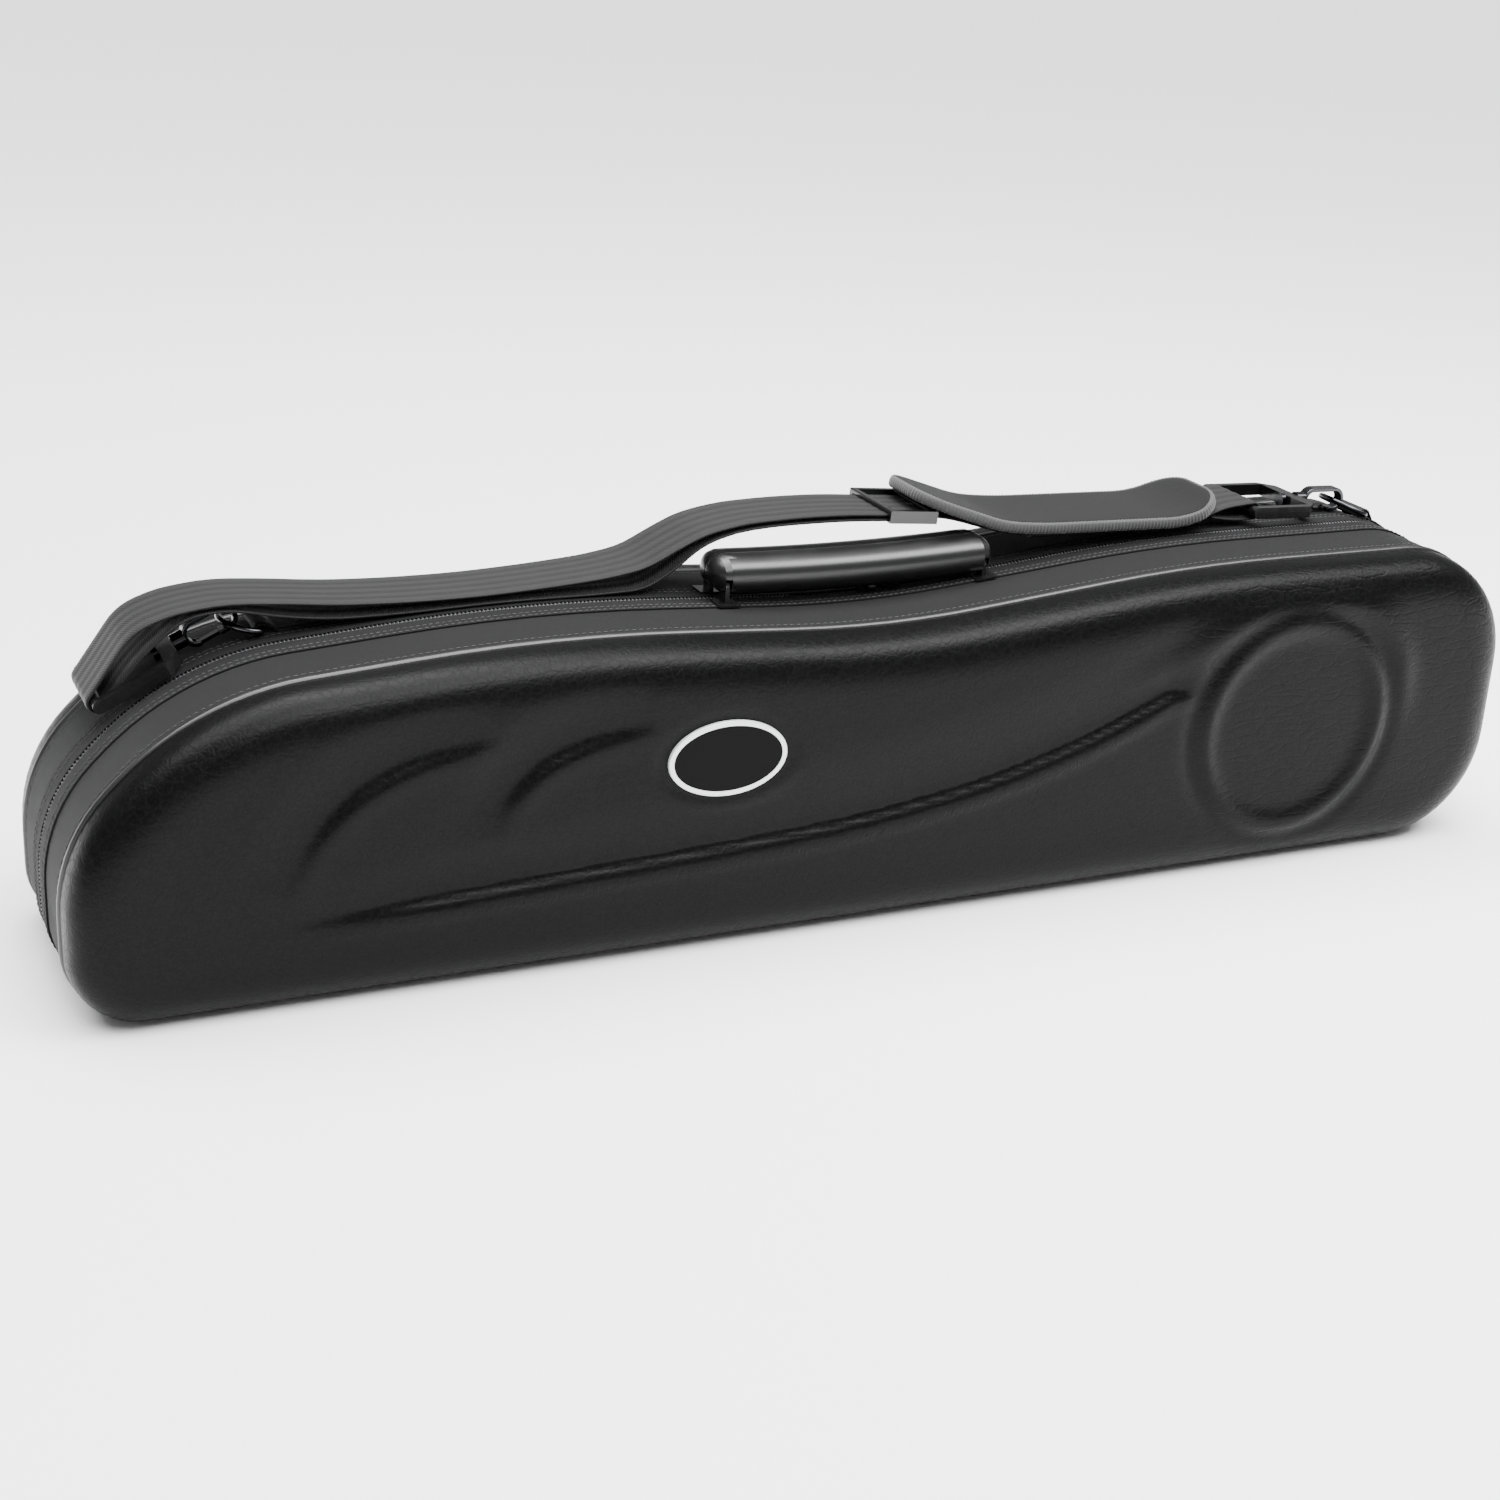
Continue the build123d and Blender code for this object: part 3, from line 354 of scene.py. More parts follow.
def piece(name, corners, faces, material, body, slot, cloth=None, scale=MM):
    """A new smooth mesh of the object, in the row frame, that rides on a body."""
    data = bpy.data.meshes.new(name)
    data.from_pydata([tuple(scale * value for value in corner) for corner in corners], [], faces)
    if cloth:
        lies = data.attributes.new("cloth", "FLOAT_VECTOR", "POINT")
        lies.data.foreach_set("vector", [scale * value for corner in cloth for value in corner])
    work = bmesh.new()
    work.from_mesh(data)
    bmesh.ops.remove_doubles(work, verts=work.verts, dist=0.002 * MM)
    bmesh.ops.recalc_face_normals(work, faces=work.faces)
    work.to_mesh(data)
    work.free()
    data.polygons.foreach_set("use_smooth", [True] * len(data.polygons))
    made = bpy.data.objects.new(name, data)
    bpy.context.scene.collection.objects.link(made)
    wear(material, made)
    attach(made, body)
    return made


def in_space(point, y):
    """A point of the outline at depth y."""
    return Vector((point.x, y, point.y))


def banded(rounds, count, first=0):
    """Faces between neighbouring rings of that count of corners."""
    faces = []
    for k in range(rounds - 1):
        for i in range(count):
            a, b = first + k * count + i, first + k * count + (i + 1) % count
            faces.append((a, b, b + count, a + count))
    return faces


def capped(rounds, count, first=0):
    """The two end faces of those rings."""
    last = first + (rounds - 1) * count
    return [tuple(range(first + count - 1, first - 1, -1)), tuple(range(last, last + count))]


def skinned(loops):
    """Corners and faces of a surface that runs through closed loops of equal count."""
    return [point for loop in loops for point in loop], banded(len(loops), len(loops[0]))


def spread(line, parts):
    """A closed line with each of its runs split into that many parts."""
    return [a.lerp(b, i / parts) for a, b in zip(line, line[1:] + line[:1]) for i in range(parts)]


def filled(edge, inner_edge, pitch):
    """Even triangles inside an edge, on points a pitch apart that lie inside the inner edge."""
    xs = np.arange(min(p.x for p in edge), max(p.x for p in edge), pitch)
    zs = np.arange(min(p.y for p in edge), max(p.y for p in edge), pitch)
    x, z = (values.ravel() for values in np.meshgrid(xs, zs))
    inside = np.zeros(len(x), dtype=bool)
    for a, b in zip(inner_edge, inner_edge[1:] + inner_edge[:1]):
        if a.y != b.y:
            inside ^= ((a.y > z) != (b.y > z)) & (x < a.x + (z - a.y) * (b.x - a.x) / (b.y - a.y))
    grid = [Vector((float(a), float(b))) for a, b in zip(x[inside], z[inside])]
    rounds = [(i, (i + 1) % len(edge)) for i in range(len(edge))]
    made = geometry.delaunay_2d_cdt(list(edge) + grid, rounds, [], 1, 1e-4)
    return made[0], made[2]


def eased(value, low, high):
    """A smooth rise from 0 to 1 as the value goes from low to high."""
    share = np.clip((value - low) / (high - low), 0, 1)
    return share * share * (3 - 2 * share)


def off_line(line, x, z):
    """Distance of each point off a line, positive to its right, and its share of the way along."""
    gaps, along = np.full(len(x), 1e6), np.zeros(len(x))
    for k, (a, b) in enumerate(zip(line, line[1:])):
        run = b - a
        share = np.clip(((x - a.x) * run.x + (z - a.y) * run.y) / run.length_squared, 0, 1)
        dx, dz = x - a.x - run.x * share, z - a.y - run.y * share
        gap = np.hypot(dx, dz) * np.where(run.x * dz - run.y * dx > 0, -1, 1)
        closer = np.abs(gap) < np.abs(gaps)
        gaps = np.where(closer, gap, gaps)
        along = np.where(closer, (k + share) / (len(line) - 1), along)
    return gaps, along


def soft_line(points):
    """A smooth line through the runs between those points."""
    return rounded(points, soft_radii(points, (), 0))[0]


def bump(off, soft):
    """A soft rise of one, that far off its crest."""
    return np.exp(-((off / soft) ** 2))


def relief(x, z, has_badge):
    """How far the pressed face stands proud, in millimetres, at points of the face."""
    off_ring = np.hypot(x - RING_MIDDLE[0], z - RING_MIDDLE[1]) - RING_RADIUS
    rise = RING_RISE * bump(off_ring, RING_SOFT)
    rise -= DISC_SINK * (1 - eased(off_ring, -2 * RING_SOFT, 0))
    rise -= GROOVE_SINK * bump(off_ring - GROOVE_GAP, GROOVE_SOFT)
    outward, along = off_line(soft_line(RIDGE), x, z)
    ends = eased(along, 0.0, RIDGE_ENDS[0]) * (1 - eased(along, RIDGE_ENDS[1], 0.999))
    rise += RIDGE_RISE * bump(outward, RIDGE_SOFT) * ends
    swoosh = soft_line(SWOOSH)
    over = z - np.interp(x, [p.x for p in swoosh], [p.y for p in swoosh])
    fade = SWOOSH_FADE * (SWOOSH_NARROW + (1 - SWOOSH_NARROW) * eased(x, *SWOOSH_WIDENS))
    channel = eased(over, *SWOOSH_WALL) * (1 - eased(over, SWOOSH_FLOOR, fade))
    channel -= LIP_RISE * bump(over + LIP_SOFT, LIP_SOFT)
    rise -= SWOOSH_SINK * channel * eased(x, *SWOOSH_STARTS) * (1 - eased(x, *SWOOSH_STOPS))
    for crescent in CRESCENTS:
        inward, along = off_line(soft_line(crescent), x, z)
        ends = np.sin(np.pi * np.clip(along, 0.001, 0.999)) ** 0.6
        channel = (1 - eased(inward, *CRESCENT_WALL)) * eased(inward, *CRESCENT_FADE)
        rise -= CRESCENT_DEPTH * (channel - LIP_RISE * bump(inward - LIP_SOFT, LIP_SOFT)) * ends
    if has_badge:
        across, up = x - BADGE_MIDDLE[0], z - BADGE_MIDDLE[1]
        oval = np.hypot(across / BADGE_REACH[0], up / BADGE_REACH[1])
        rise = rise * eased(oval, *BADGE_CLEAR) - BADGE_DENT * (1 - eased(oval, *BADGE_SEAT))
    return rise


def half_shell(side, has_badge):
    """Corners and faces of a pressed half shell, closed by its lip and its plain inside."""
    outer, inner = [], []
    for k in range(SHOULDER_LEVELS + 1):
        angle = math.pi / 2 * k / SHOULDER_LEVELS
        inset = SHELL_INSET + SHOULDER_INSET * (1 - math.cos(angle)) ** SHOULDER_POWER
        lift = math.sin(angle)
        outer.append((spread(rim(inset), RIM_PARTS), inset, SHELL_LIP_Y + SHELL_DEPTH * lift))
        inside = spread(rim(inset + SHELL_WALL), RIM_PARTS)
        inner.append((inside, 0, SHELL_LIP_Y + (SHELL_DEPTH - SHELL_WALL) * lift))
    levels = inner[::-1] + outer
    edge, face_inset, face_y = outer[-1]
    flat, triangles = filled(edge, rim(face_inset + FACE_MARGIN), FACE_PITCH)
    levels.append((list(flat), face_inset, face_y))
    x = np.array([point.x for loop, _, _ in levels for point in loop])
    z = np.array([point.y for loop, _, _ in levels for point in loop])
    insets = np.array([inset for loop, inset, _ in levels for _ in loop])
    y = np.array([depth for loop, _, depth in levels for _ in loop])
    y += relief(x, z, has_badge) * eased(insets, *RELIEF_STARTS)
    count, rounds = len(edge), len(levels) - 1
    faces = banded(rounds, count)
    faces += [tuple(rounds * count + i for i in triangle) for triangle in triangles]
    faces.append(tuple(range(count - 1, -1, -1)))
    return [Vector((a, side * b, c)) for a, b, c in zip(x.tolist(), y.tolist(), z.tolist())], faces


for side, half, body in ((-1, "front", "lid"), (1, "rear", "rear_half")):
    shell = piece(f"{half}_pressed_shell", *half_shell(side, half == "front"), leather, body, "shell")
    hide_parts(f"{half}_shell")


# The piping: a vinyl strip folded over a cord and sewn into the seam between each shell and
# its gusset. It is smoother than the shell, so that a thin light runs all along it.
PIPING_BLACK = (0.0030, 0.0030, 0.0032, 1)
PIPING_GREY = (0.0060, 0.0060, 0.0063, 1)

bead = new_finish("piping_vinyl")
bead_wobble = speckle(bead, 16 * MM)
piping = close_finish(
    bead,
    mixed(bead_wobble, PIPING_BLACK, PIPING_GREY),
    0.30 + bead_wobble * 0.12,
    bead_wobble * 2.0 + speckle(bead, 0.7 * MM) * 0.3,
    0.10 * MM,
    {"Specular IOR Level": 0.55},
)
wear(piping, *cad("front_piping", "rear_piping"))


# The gusset: black nylon cloth bonded to a stiff strip and sewn to the shells beside the
# piping, in a row of short stitches. The case hinges on two leaves of the same cloth.
GUSSET_INSET = 0.8
GUSSET_ROW_Y = 41.6
HINGE_SPAN = (-335.5, 309.5)
NYLON_BLACK = (0.0016, 0.0016, 0.0018, 1)
NYLON_GREY = (0.0085, 0.0085, 0.0090, 1)
NYLON_THREAD = 0.42 * MM
SEWING_BLACK = (0.0110, 0.0110, 0.0116, 1)
SEWING_GREY = (0.0300, 0.0300, 0.0310, 1)
THREAD_RADIUS = 0.24
STITCH = 2.7
STITCH_GAP = 0.7
STITCH_SINK = 0.16


def paced(line, pitch, closed=False):
    """Places about one pitch apart along a line, each with its direction."""
    line = list(line) + ([line[0]] if closed else [])
    lengths = [0.0]
    for a, b in zip(line, line[1:]):
        lengths.append(lengths[-1] + (b - a).length)
    count = max(1, round(lengths[-1] / pitch))
    places, k = [], 0
    for i in range(count):
        goal = (i + 0.5) * lengths[-1] / count
        while lengths[k + 1] < goal:
            k += 1
        a, b = line[k], line[k + 1]
        share = (goal - lengths[k]) / (lengths[k + 1] - lengths[k])
        places.append((a.lerp(b, share), (b - a).normalized()))
    return places


def tube(corners, faces, path, radii, across, sides=6):
    """Adds a closed tube along a path of points to a mesh. Across is a direction off the path."""
    first = len(corners)
    for k, point in enumerate(path):
        ahead = path[min(k + 1, len(path) - 1)] - path[max(k - 1, 0)]
        ahead.normalize()
        one = ahead.cross(across).normalized()
        two = ahead.cross(one).normalized()
        for i in range(sides):
            angle = 2 * math.pi * i / sides
            corners.append(point + (one * math.cos(angle) + two * math.sin(angle)) * radii[k])
    faces += banded(len(path), sides, first) + capped(len(path), sides, first)


def stitch(corners, faces, middle, along, out, length=STITCH, radius=THREAD_RADIUS):
    """Adds one stitch that rises out of the cloth and dips back into it."""
    reach = length / 2
    dip, crown = out * STITCH_SINK, out * radius * 0.4
    path = [middle - along * reach - dip, middle - along * reach * 0.55 + crown]
    path += [middle + along * reach * 0.55 + crown, middle + along * reach - dip]
    tube(corners, faces, path, [radius * 0.5, radius, radius, radius * 0.5], along.cross(out))


def outline_row(inset, y, length, gap, skips_hinge):
    """Corners and faces of a row of stitches round the outline, at depth y."""
    corners, faces = [], []
    for point, along in paced(rim(inset), length + gap, closed=True):
        on_hinge = point.y < 5 and HINGE_SPAN[0] < point.x < HINGE_SPAN[1]
        if skips_hinge and on_hinge:
            continue
        out = Vector((along.y, 0, -along.x))
        stitch(corners, faces, in_space(point, y), Vector((along.x, 0, along.y)), out, length)
    return corners, faces


def nylon_finish(name, thread, dark, light):
    """Plain-woven cloth that follows the outline: threads run along it and across it."""
    cloth = new_finish(name)
    x, y, z = split(cloth)
    along = x - z * x.sum("SIGN", x)
    weave = weave_height(along, y, thread)
    uneven = speckle(cloth, 14 * MM, 3.0)
    colour = mixed(steps(weave, 0.2, 1.0) * 0.7 + uneven * 0.3, dark, light)
    height = weave + speckle(cloth, 2 * MM) * 0.5
    fixed = {"Sheen Weight": 0.04, "Specular IOR Level": 0.12}
    return close_finish(cloth, colour, 0.62 + uneven * 0.15, height, thread / 3, fixed)


def weave_height(along, across, thread):
    """Height from 0 to 1 of a plain weave, where each thread arches over the next."""
    turn = math.pi / thread
    warp, weft = along * turn, across * turn
    return warp.sum("SINE", warp) * weft.sum("SINE", weft) * 0.5 + 0.5


nylon = nylon_finish("gusset_nylon", NYLON_THREAD, NYLON_BLACK, NYLON_GREY)
wear(nylon, *cad("front_gusset", "rear_gusset", "front_hinge_strip", "rear_hinge_strip"))

twist = new_finish("sewing_thread")
twist_lay = cells(twist, 0.35 * MM)
sewing_tone = mixed(twist_lay, SEWING_BLACK, SEWING_GREY)
sewing = close_finish(twist, sewing_tone, 0.5 + twist_lay * 0.2, twist_lay, 0.05 * MM)

for side, body in ((-1, "lid"), (1, "rear_half")):
    row = outline_row(GUSSET_INSET, side * GUSSET_ROW_Y, STITCH, STITCH_GAP, False)
    piece(f"{body}_gusset_stitches", *row, sewing, body, "gusset")


# The zip: two woven tapes sewn over the gusset's edges with two rows each, and on each edge
# a coil of nylon wound round a filler cord. The coil's turns lock between those of the other.
TAPE_BLACK = (0.0016, 0.0016, 0.0018, 1)
TAPE_GREY = (0.0065, 0.0065, 0.0069, 1)
TAPE_RIB = 1.1 * MM
TAPE_CROSS = 0.45 * MM
TAPE_ROWS = ((13.3, 2.4, 0.6), (9.6, 2.4, 0.6))
COIL_PITCH = 1.9
COIL_RADIUS = 0.38
COIL_TURN = [
    (1.95, -0.45), (0.55, -0.40), (-0.12, -0.55), (-0.34, -1.2),
    (-0.12, -1.85), (0.55, -2.0), (1.95, -1.95),
]
COIL_OPEN_SPAN = (-16.5, 60.5)
COIL_OPEN_SHIFT = 1.30
CORE_SECTION = [(1.0, -0.9), (1.75, -0.9), (1.75, -1.5), (1.0, -1.5)]
COIL_BLACK = (0.010, 0.010, 0.0105, 1)
COIL_GREY = (0.055, 0.055, 0.058, 1)

ribbed = new_finish("zip_tape_cloth")
ribbed_x, ribbed_y, ribbed_z = split(ribbed)
ribbed_along = ribbed_x - ribbed_z * ribbed_x.sum("SIGN", ribbed_x)
rib_turn = ribbed_y * (2 * math.pi / TAPE_RIB)
rib = rib_turn.sum("SINE", rib_turn) * 0.5 + 0.5
tape_weave = weave_height(ribbed_along, ribbed_y, TAPE_CROSS)
tape_uneven = speckle(ribbed, 10 * MM, 3.0)
tape = close_finish(
    ribbed,
    mixed(rib * 0.5 + tape_weave * 0.3 + tape_uneven * 0.2, TAPE_BLACK, TAPE_GREY),
    0.66 + tape_uneven * 0.12,
    rib + tape_weave * 0.5,
    0.14 * MM,
    {"Sheen Weight": 0.03, "Specular IOR Level": 0.12},
)
wear(tape, *cad("front_zip_tape", "rear_zip_tape"))

nylon_wire = new_finish("zip_coil_nylon")
wire_tone = speckle(nylon_wire, 1.1 * MM)
coil_tone = mixed(wire_tone, COIL_BLACK, COIL_GREY)
coil = close_finish(nylon_wire, coil_tone, 0.22 + wire_tone * 0.12, wire_tone, 0.02 * MM)


def coil_turns(side):
    """Corners and faces of one coil and its filler cord, round the outline but for the hinge."""
    corners, faces = [], []
    places = paced(rim(0), COIL_PITCH, closed=True)
    core_before = None
    for k, (point, along) in enumerate(places):
        if point.y < 5 and HINGE_SPAN[0] < point.x < HINGE_SPAN[1]:
            core_before = None
            continue
        ahead = Vector((along.x, 0, along.y))
        out = Vector((along.y, 0, -along.x))
        shift = COIL_OPEN_SHIFT if point.y > 70 and COIL_OPEN_SPAN[0] < point.x < COIL_OPEN_SPAN[1] else 0
        middle = in_space(point, 0) + ahead * (side * COIL_PITCH / 4)
        path = [middle + Vector((0, side * min(y + shift, 2.0), 0)) + out * rise for y, rise in COIL_TURN]
        tube(corners, faces, path, [COIL_RADIUS] * len(path), ahead)
        ring = [middle + Vector((0, side * y, 0)) + out * rise for y, rise in CORE_SECTION]
        first = len(corners)
        corners += ring
        if core_before is not None:
            count = len(ring)
            for i in range(count):
                j = (i + 1) % count
                faces.append((core_before + i, core_before + j, first + j, first + i))
        else:
            faces.append(tuple(range(first + len(ring) - 1, first - 1, -1)))
        following = places[(k + 1) % len(places)][0]
        if following.y < 5 and HINGE_SPAN[0] < following.x < HINGE_SPAN[1]:
            faces.append(tuple(range(first, first + len(ring))))
        core_before = first
    return corners, faces


for side, half, body in ((-1, "front", "lid"), (1, "rear", "rear_half")):
    turns = piece(f"{half}_coil_turns", *coil_turns(side), coil, body, "zip_coil")
    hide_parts(f"{half}_zip_coil")
    for k, (row_y, length, gap) in enumerate(TAPE_ROWS):
        row = outline_row(0, side * row_y, length, gap, True)
        piece(f"{half}_tape_stitches_{k + 1}", *row, sewing, body, "zip_tape")


# The sliders and pulls: zinc castings under black lacquer, which meet nose to nose beneath
# the handle. The lacquer has fine dents and shows a little metal where it rubs.
LACQUER_BLACK = (0.012, 0.012, 0.013, 1)
LACQUER_WORN = (0.09, 0.088, 0.085, 1)

lacquered = new_finish("black_lacquered_zinc")
dents = speckle(lacquered, 1.5 * MM, 4.0)
rubbed = steps(speckle(lacquered, 3 * MM, 6.0), 0.62, 0.72)
lacquer = close_finish(
    lacquered,
    mixed(rubbed, LACQUER_BLACK, LACQUER_WORN),
    0.24 + dents * 0.14,
    dents,
    0.03 * MM,
    {"Metallic": 0.6},
)
wear(lacquer, *cad("zip_slider_left", "zip_slider_right", "zip_pull_left", "zip_pull_right"))


# The handle: two moulded halves of black plastic that fold apart, each on two pins through
# lugs riveted to the gusset. The moulding is satin, with a faint skin from the tool.
PLASTIC_BLACK = (0.0022, 0.0022, 0.0024, 1)
PLASTIC_GREY = (0.0040, 0.0040, 0.0043, 1)
HANDLE_MIDDLE_X = 13.0
HANDLE_HALF = 75.0
HANDLE_DEPTH = 14.8
HANDLE_RISE = 9.9
HANDLE_MIDDLE_Z = 157.6
HANDLE_BOW = 1400.0
HANDLE_SQUARENESS = 2.5
HANDLE_SEAM = 0.3
HANDLE_ARM_START = 62.0
END_ROUND = 10.5
END_LEAST = 0.0004
SECTION_STEP = 0.02
PLAN_ROUND = 8.0
SKIN_START = math.radians(86)
SKIN_POINTS = 22
SKIRT_END = math.radians(-62)
SKIRT_WALL = 2.2
BAR_UNDERSIDE_Z = 157.0
LUG_OFFSET = 68.5
LUG_SLOT_HALF = 1.5
LUG_SLOT_TOP = 159.4
PIVOT = (9.3, 155.4)
PIN_RADIUS = 1.4
PIN_HALF = 2.0
STEEL = (0.45, 0.45, 0.46, 1)
STEEL_DULL = (0.26, 0.26, 0.27, 1)

moulded = new_finish("satin_moulded_plastic")
flow = speckle(moulded, 22 * MM, 3.0)
satin = close_finish(
    moulded,
    mixed(flow, PLASTIC_BLACK, PLASTIC_GREY),
    0.24 + flow * 0.10 + speckle(moulded, 2 * MM, 4.0) * 0.05,
    speckle(moulded, 0.8 * MM) * 0.4 + flow,
    0.05 * MM,
    {"Specular IOR Level": 0.55},
)
wear(satin, *cad("front_handle_lugs", "rear_handle_lugs"))


def handle_section(off, kind):
    """Section of a handle half as (y, z) points: solid, open beneath, or slotted for a lug."""

    def shrunk(reach):
        past = max(0, abs(off) - HANDLE_HALF + reach) / reach
        return math.sqrt(max(1 - past ** 2, END_LEAST))

    deep, tall = HANDLE_DEPTH * shrunk(PLAN_ROUND), HANDLE_RISE * shrunk(END_ROUND)
    middle = HANDLE_MIDDLE_Z + off * off / (2 * HANDLE_BOW)

    def skin(angle):
        out, up = math.cos(angle), math.sin(angle)
        y = HANDLE_SEAM + deep * out ** (2 / HANDLE_SQUARENESS)
        return y, middle + tall * math.copysign(abs(up) ** (2 / HANDLE_SQUARENESS), up)

    def angle_at(z):
        share = (z - middle) / tall
        return math.asin(math.copysign(min(abs(share), 1) ** (HANDLE_SQUARENESS / 2), share))

    stop = angle_at(LUG_SLOT_TOP) if kind == "slotted" else SKIRT_END
    crest = middle + tall
    line = [(HANDLE_SEAM, crest - 0.13 * tall)]
    line.append((HANDLE_SEAM + 0.25 * shrunk(END_ROUND), crest - 0.045 * tall))
    line += [skin(SKIN_START + (stop - SKIN_START) * i / SKIN_POINTS) for i in range(SKIN_POINTS + 1)]
    last_y, last_z = line[-1]
    if kind == "open":
        turns = [stop + (angle_at(BAR_UNDERSIDE_Z) - stop) * i / 4 for i in range(5)]
        line += [(skin(turn)[0] - SKIRT_WALL, skin(turn)[1]) for turn in turns]
        return line + [(HANDLE_SEAM, BAR_UNDERSIDE_Z)]
    return line + [(last_y + (HANDLE_SEAM - last_y) * i / 6, last_z) for i in range(1, 7)]


def handle_half(side):
    """Corners and faces of a handle half, with a skirt round the finger gap and two lug slots."""
    slot_start, slot_end = LUG_OFFSET - LUG_SLOT_HALF, LUG_OFFSET + LUG_SLOT_HALF
    places = [(HANDLE_ARM_START * i / 12, "open") for i in range(13)]
    places += [(HANDLE_ARM_START + SECTION_STEP, "solid"), (slot_start, "solid")]
    places += [(slot_start + SECTION_STEP, "slotted"), (slot_end - SECTION_STEP, "slotted")]
    end_run = HANDLE_HALF - slot_end
    places += [(slot_end + end_run * math.sin(math.pi / 2 * i / 9), "solid") for i in range(10)]
    places = [(-off, kind) for off, kind in places[:0:-1]] + places
    corners = []
    for off, kind in places:
        corners += [Vector((HANDLE_MIDDLE_X + off, side * y, z)) for y, z in handle_section(off, kind)]
    count = len(corners) // len(places)
    return corners, banded(len(places), count) + capped(len(places), count)


for side, half, body in ((-1, "front", "front_grip"), (1, "rear", "rear_grip")):
    grip = piece(f"{half}_grip_half", *handle_half(side), satin, body, "handle")
    grip.data.set_sharp_from_angle(angle=math.radians(38))
    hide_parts(f"{half}_handle")

turned = new_finish("turned_steel")
turning = speckle(stretched(turned, 20, 1, 1), 0.6 * MM, 3.0)
steel_tone = mixed(turning, STEEL_DULL, STEEL)
steel = close_finish(turned, steel_tone, 0.28 + turning * 0.15, turning, 0.02 * MM, {"Metallic": 1.0})
for side, half, body in ((-1, "front", "front_grip"), (1, "rear", "rear_grip")):
    pin_corners, pin_faces = [], []
    for off in (-LUG_OFFSET, LUG_OFFSET):
        middle = Vector((HANDLE_MIDDLE_X + off, side * PIVOT[0], PIVOT[1]))
        ends = [middle - Vector((PIN_HALF, 0, 0)), middle + Vector((PIN_HALF, 0, 0))]
        tube(pin_corners, pin_faces, ends, [PIN_RADIUS] * 2, Vector((0, 0, 1)), 12)
    pins = piece(f"{half}_grip_pins", pin_corners, pin_faces, steel, body, "steel")
    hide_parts(f"{half}_handle_pins")


# The badge: a bare black oval with a fine-grained lacquered field inside a raised silver
# rim, set into a seat pressed in the front shell.
FIELD_BLACK = (0.0008, 0.0008, 0.0009, 1)
FIELD_GREY = (0.0014, 0.0014, 0.0015, 1)
RIM_SILVER = (0.78, 0.79, 0.80, 1)
RIM_DULL = (0.60, 0.61, 0.62, 1)

field = new_finish("badge_lacquer")
field_grain = speckle(field, 0.6 * MM, 3.0)
field_tone = mixed(field_grain, FIELD_BLACK, FIELD_GREY)
dull = {"Specular IOR Level": 0.06}
badge_field = close_finish(field, field_tone, 0.32 + field_grain * 0.1, field_grain, 0.03 * MM, dull)
wear(badge_field, *cad("badge_plate"))
plated = new_finish("badge_silver")
plated_grain = speckle(plated, 1.2 * MM, 4.0)
rim_tone = mixed(plated_grain, RIM_DULL, RIM_SILVER)
part_metal = {"Metallic": 0.35}
badge_rim = close_finish(plated, rim_tone, 0.26 + plated_grain * 0.12, plated_grain, 0.02 * MM, part_metal)
wear(badge_rim, *cad("badge_ring"))


# The lid's lining: black plush glued over thin foam. It follows the shell, rolls over at its
# lip and is lightly puffed. Its colour is painted lighter in soft patches, a painted sheen on the brushed
# nap.
PLUSH_BLACK = (0.010, 0.010, 0.012, 1)
PLUSH_SHEEN = (0.045, 0.045, 0.052, 1)
LINING_INSET = 4.1
CROWN_INSET = 4.3
LINING_THICKNESS = 4.0
LIP_Y = -4.0
CROWN_Y = -48.6
CROWN_DEPTH = 21.7
CROWN_STEPS = 7
SPINE_Z = 77.0
SPINE_HALF = 290.0
FLOOR_STEPS = 6
PUFF = 0.7

plush_place = new_finish("black_plush")
nap = speckle(plush_place, 0.5 * MM, 2.0)
brushed_nap_and_sheen = speckle(plush_place, 28 * MM, 4.0, 0.6)
plush = close_finish(
    plush_place,
    # painted sheen: the brushed patches of nap are painted lighter, as if they caught the light
    mixed(brushed_nap_and_sheen * 0.6 + nap * 0.4, PLUSH_BLACK, PLUSH_SHEEN),
    0.85 + nap * 0.1,
    nap + brushed_nap_and_sheen,
    0.35 * MM,
    {"Sheen Weight": 0.8, "Sheen Roughness": 0.4},
)


def lining_levels(inset, depth):
    """Levels (inset, y) of a lining surface, from its lip to the floor of the crown."""
    levels = [(LINING_INSET + inset, LIP_Y + (CROWN_Y - LIP_Y) * k / 5) for k in range(6)]
    for k in range(CROWN_STEPS + 1):
        angle = math.pi / 2 * k / CROWN_STEPS
        drawn = SHOULDER_INSET * (1 - math.cos(angle)) ** SHOULDER_POWER
        levels.append((CROWN_INSET + inset + drawn, CROWN_Y - depth * math.sin(angle)))
    return levels


def lining_loops(inset, depth, puff):
    """Loops of a lining surface, from its lip to a seam along the middle of its floor."""
    loops = [[in_space(point, y) for point in rim(level)] for level, y in lining_levels(inset, depth)]
    edge = loops[-1]
    for k in range(1, FLOOR_STEPS + 1):
        share = k / FLOOR_STEPS
        goal = [Vector((max(-SPINE_HALF, min(SPINE_HALF, p.x)), p.y, SPINE_Z)) for p in edge]
        loops.append([p.lerp(q, share) for p, q in zip(edge, goal)])
    for k, loop in enumerate(loops[1:], 1):
        for point in loop:
            point.y += puff * (0.5 + noise.noise(point * 0.03)) * min(k / 6, 1)
    return loops


outer_loops = lining_loops(0, CROWN_DEPTH, 0)
inner_loops = lining_loops(LINING_THICKNESS, CROWN_DEPTH - LINING_THICKNESS, PUFF)
lip = [[(p + q) / 2 + Vector((0, LINING_THICKNESS / 8, 0)) for p, q in zip(outer_loops[0], inner_loops[0])]]
lid_plush = piece("lid_plush", *skinned(outer_loops[::-1] + lip + inner_loops), plush, "lid", "lining")
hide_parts("lid_lining")


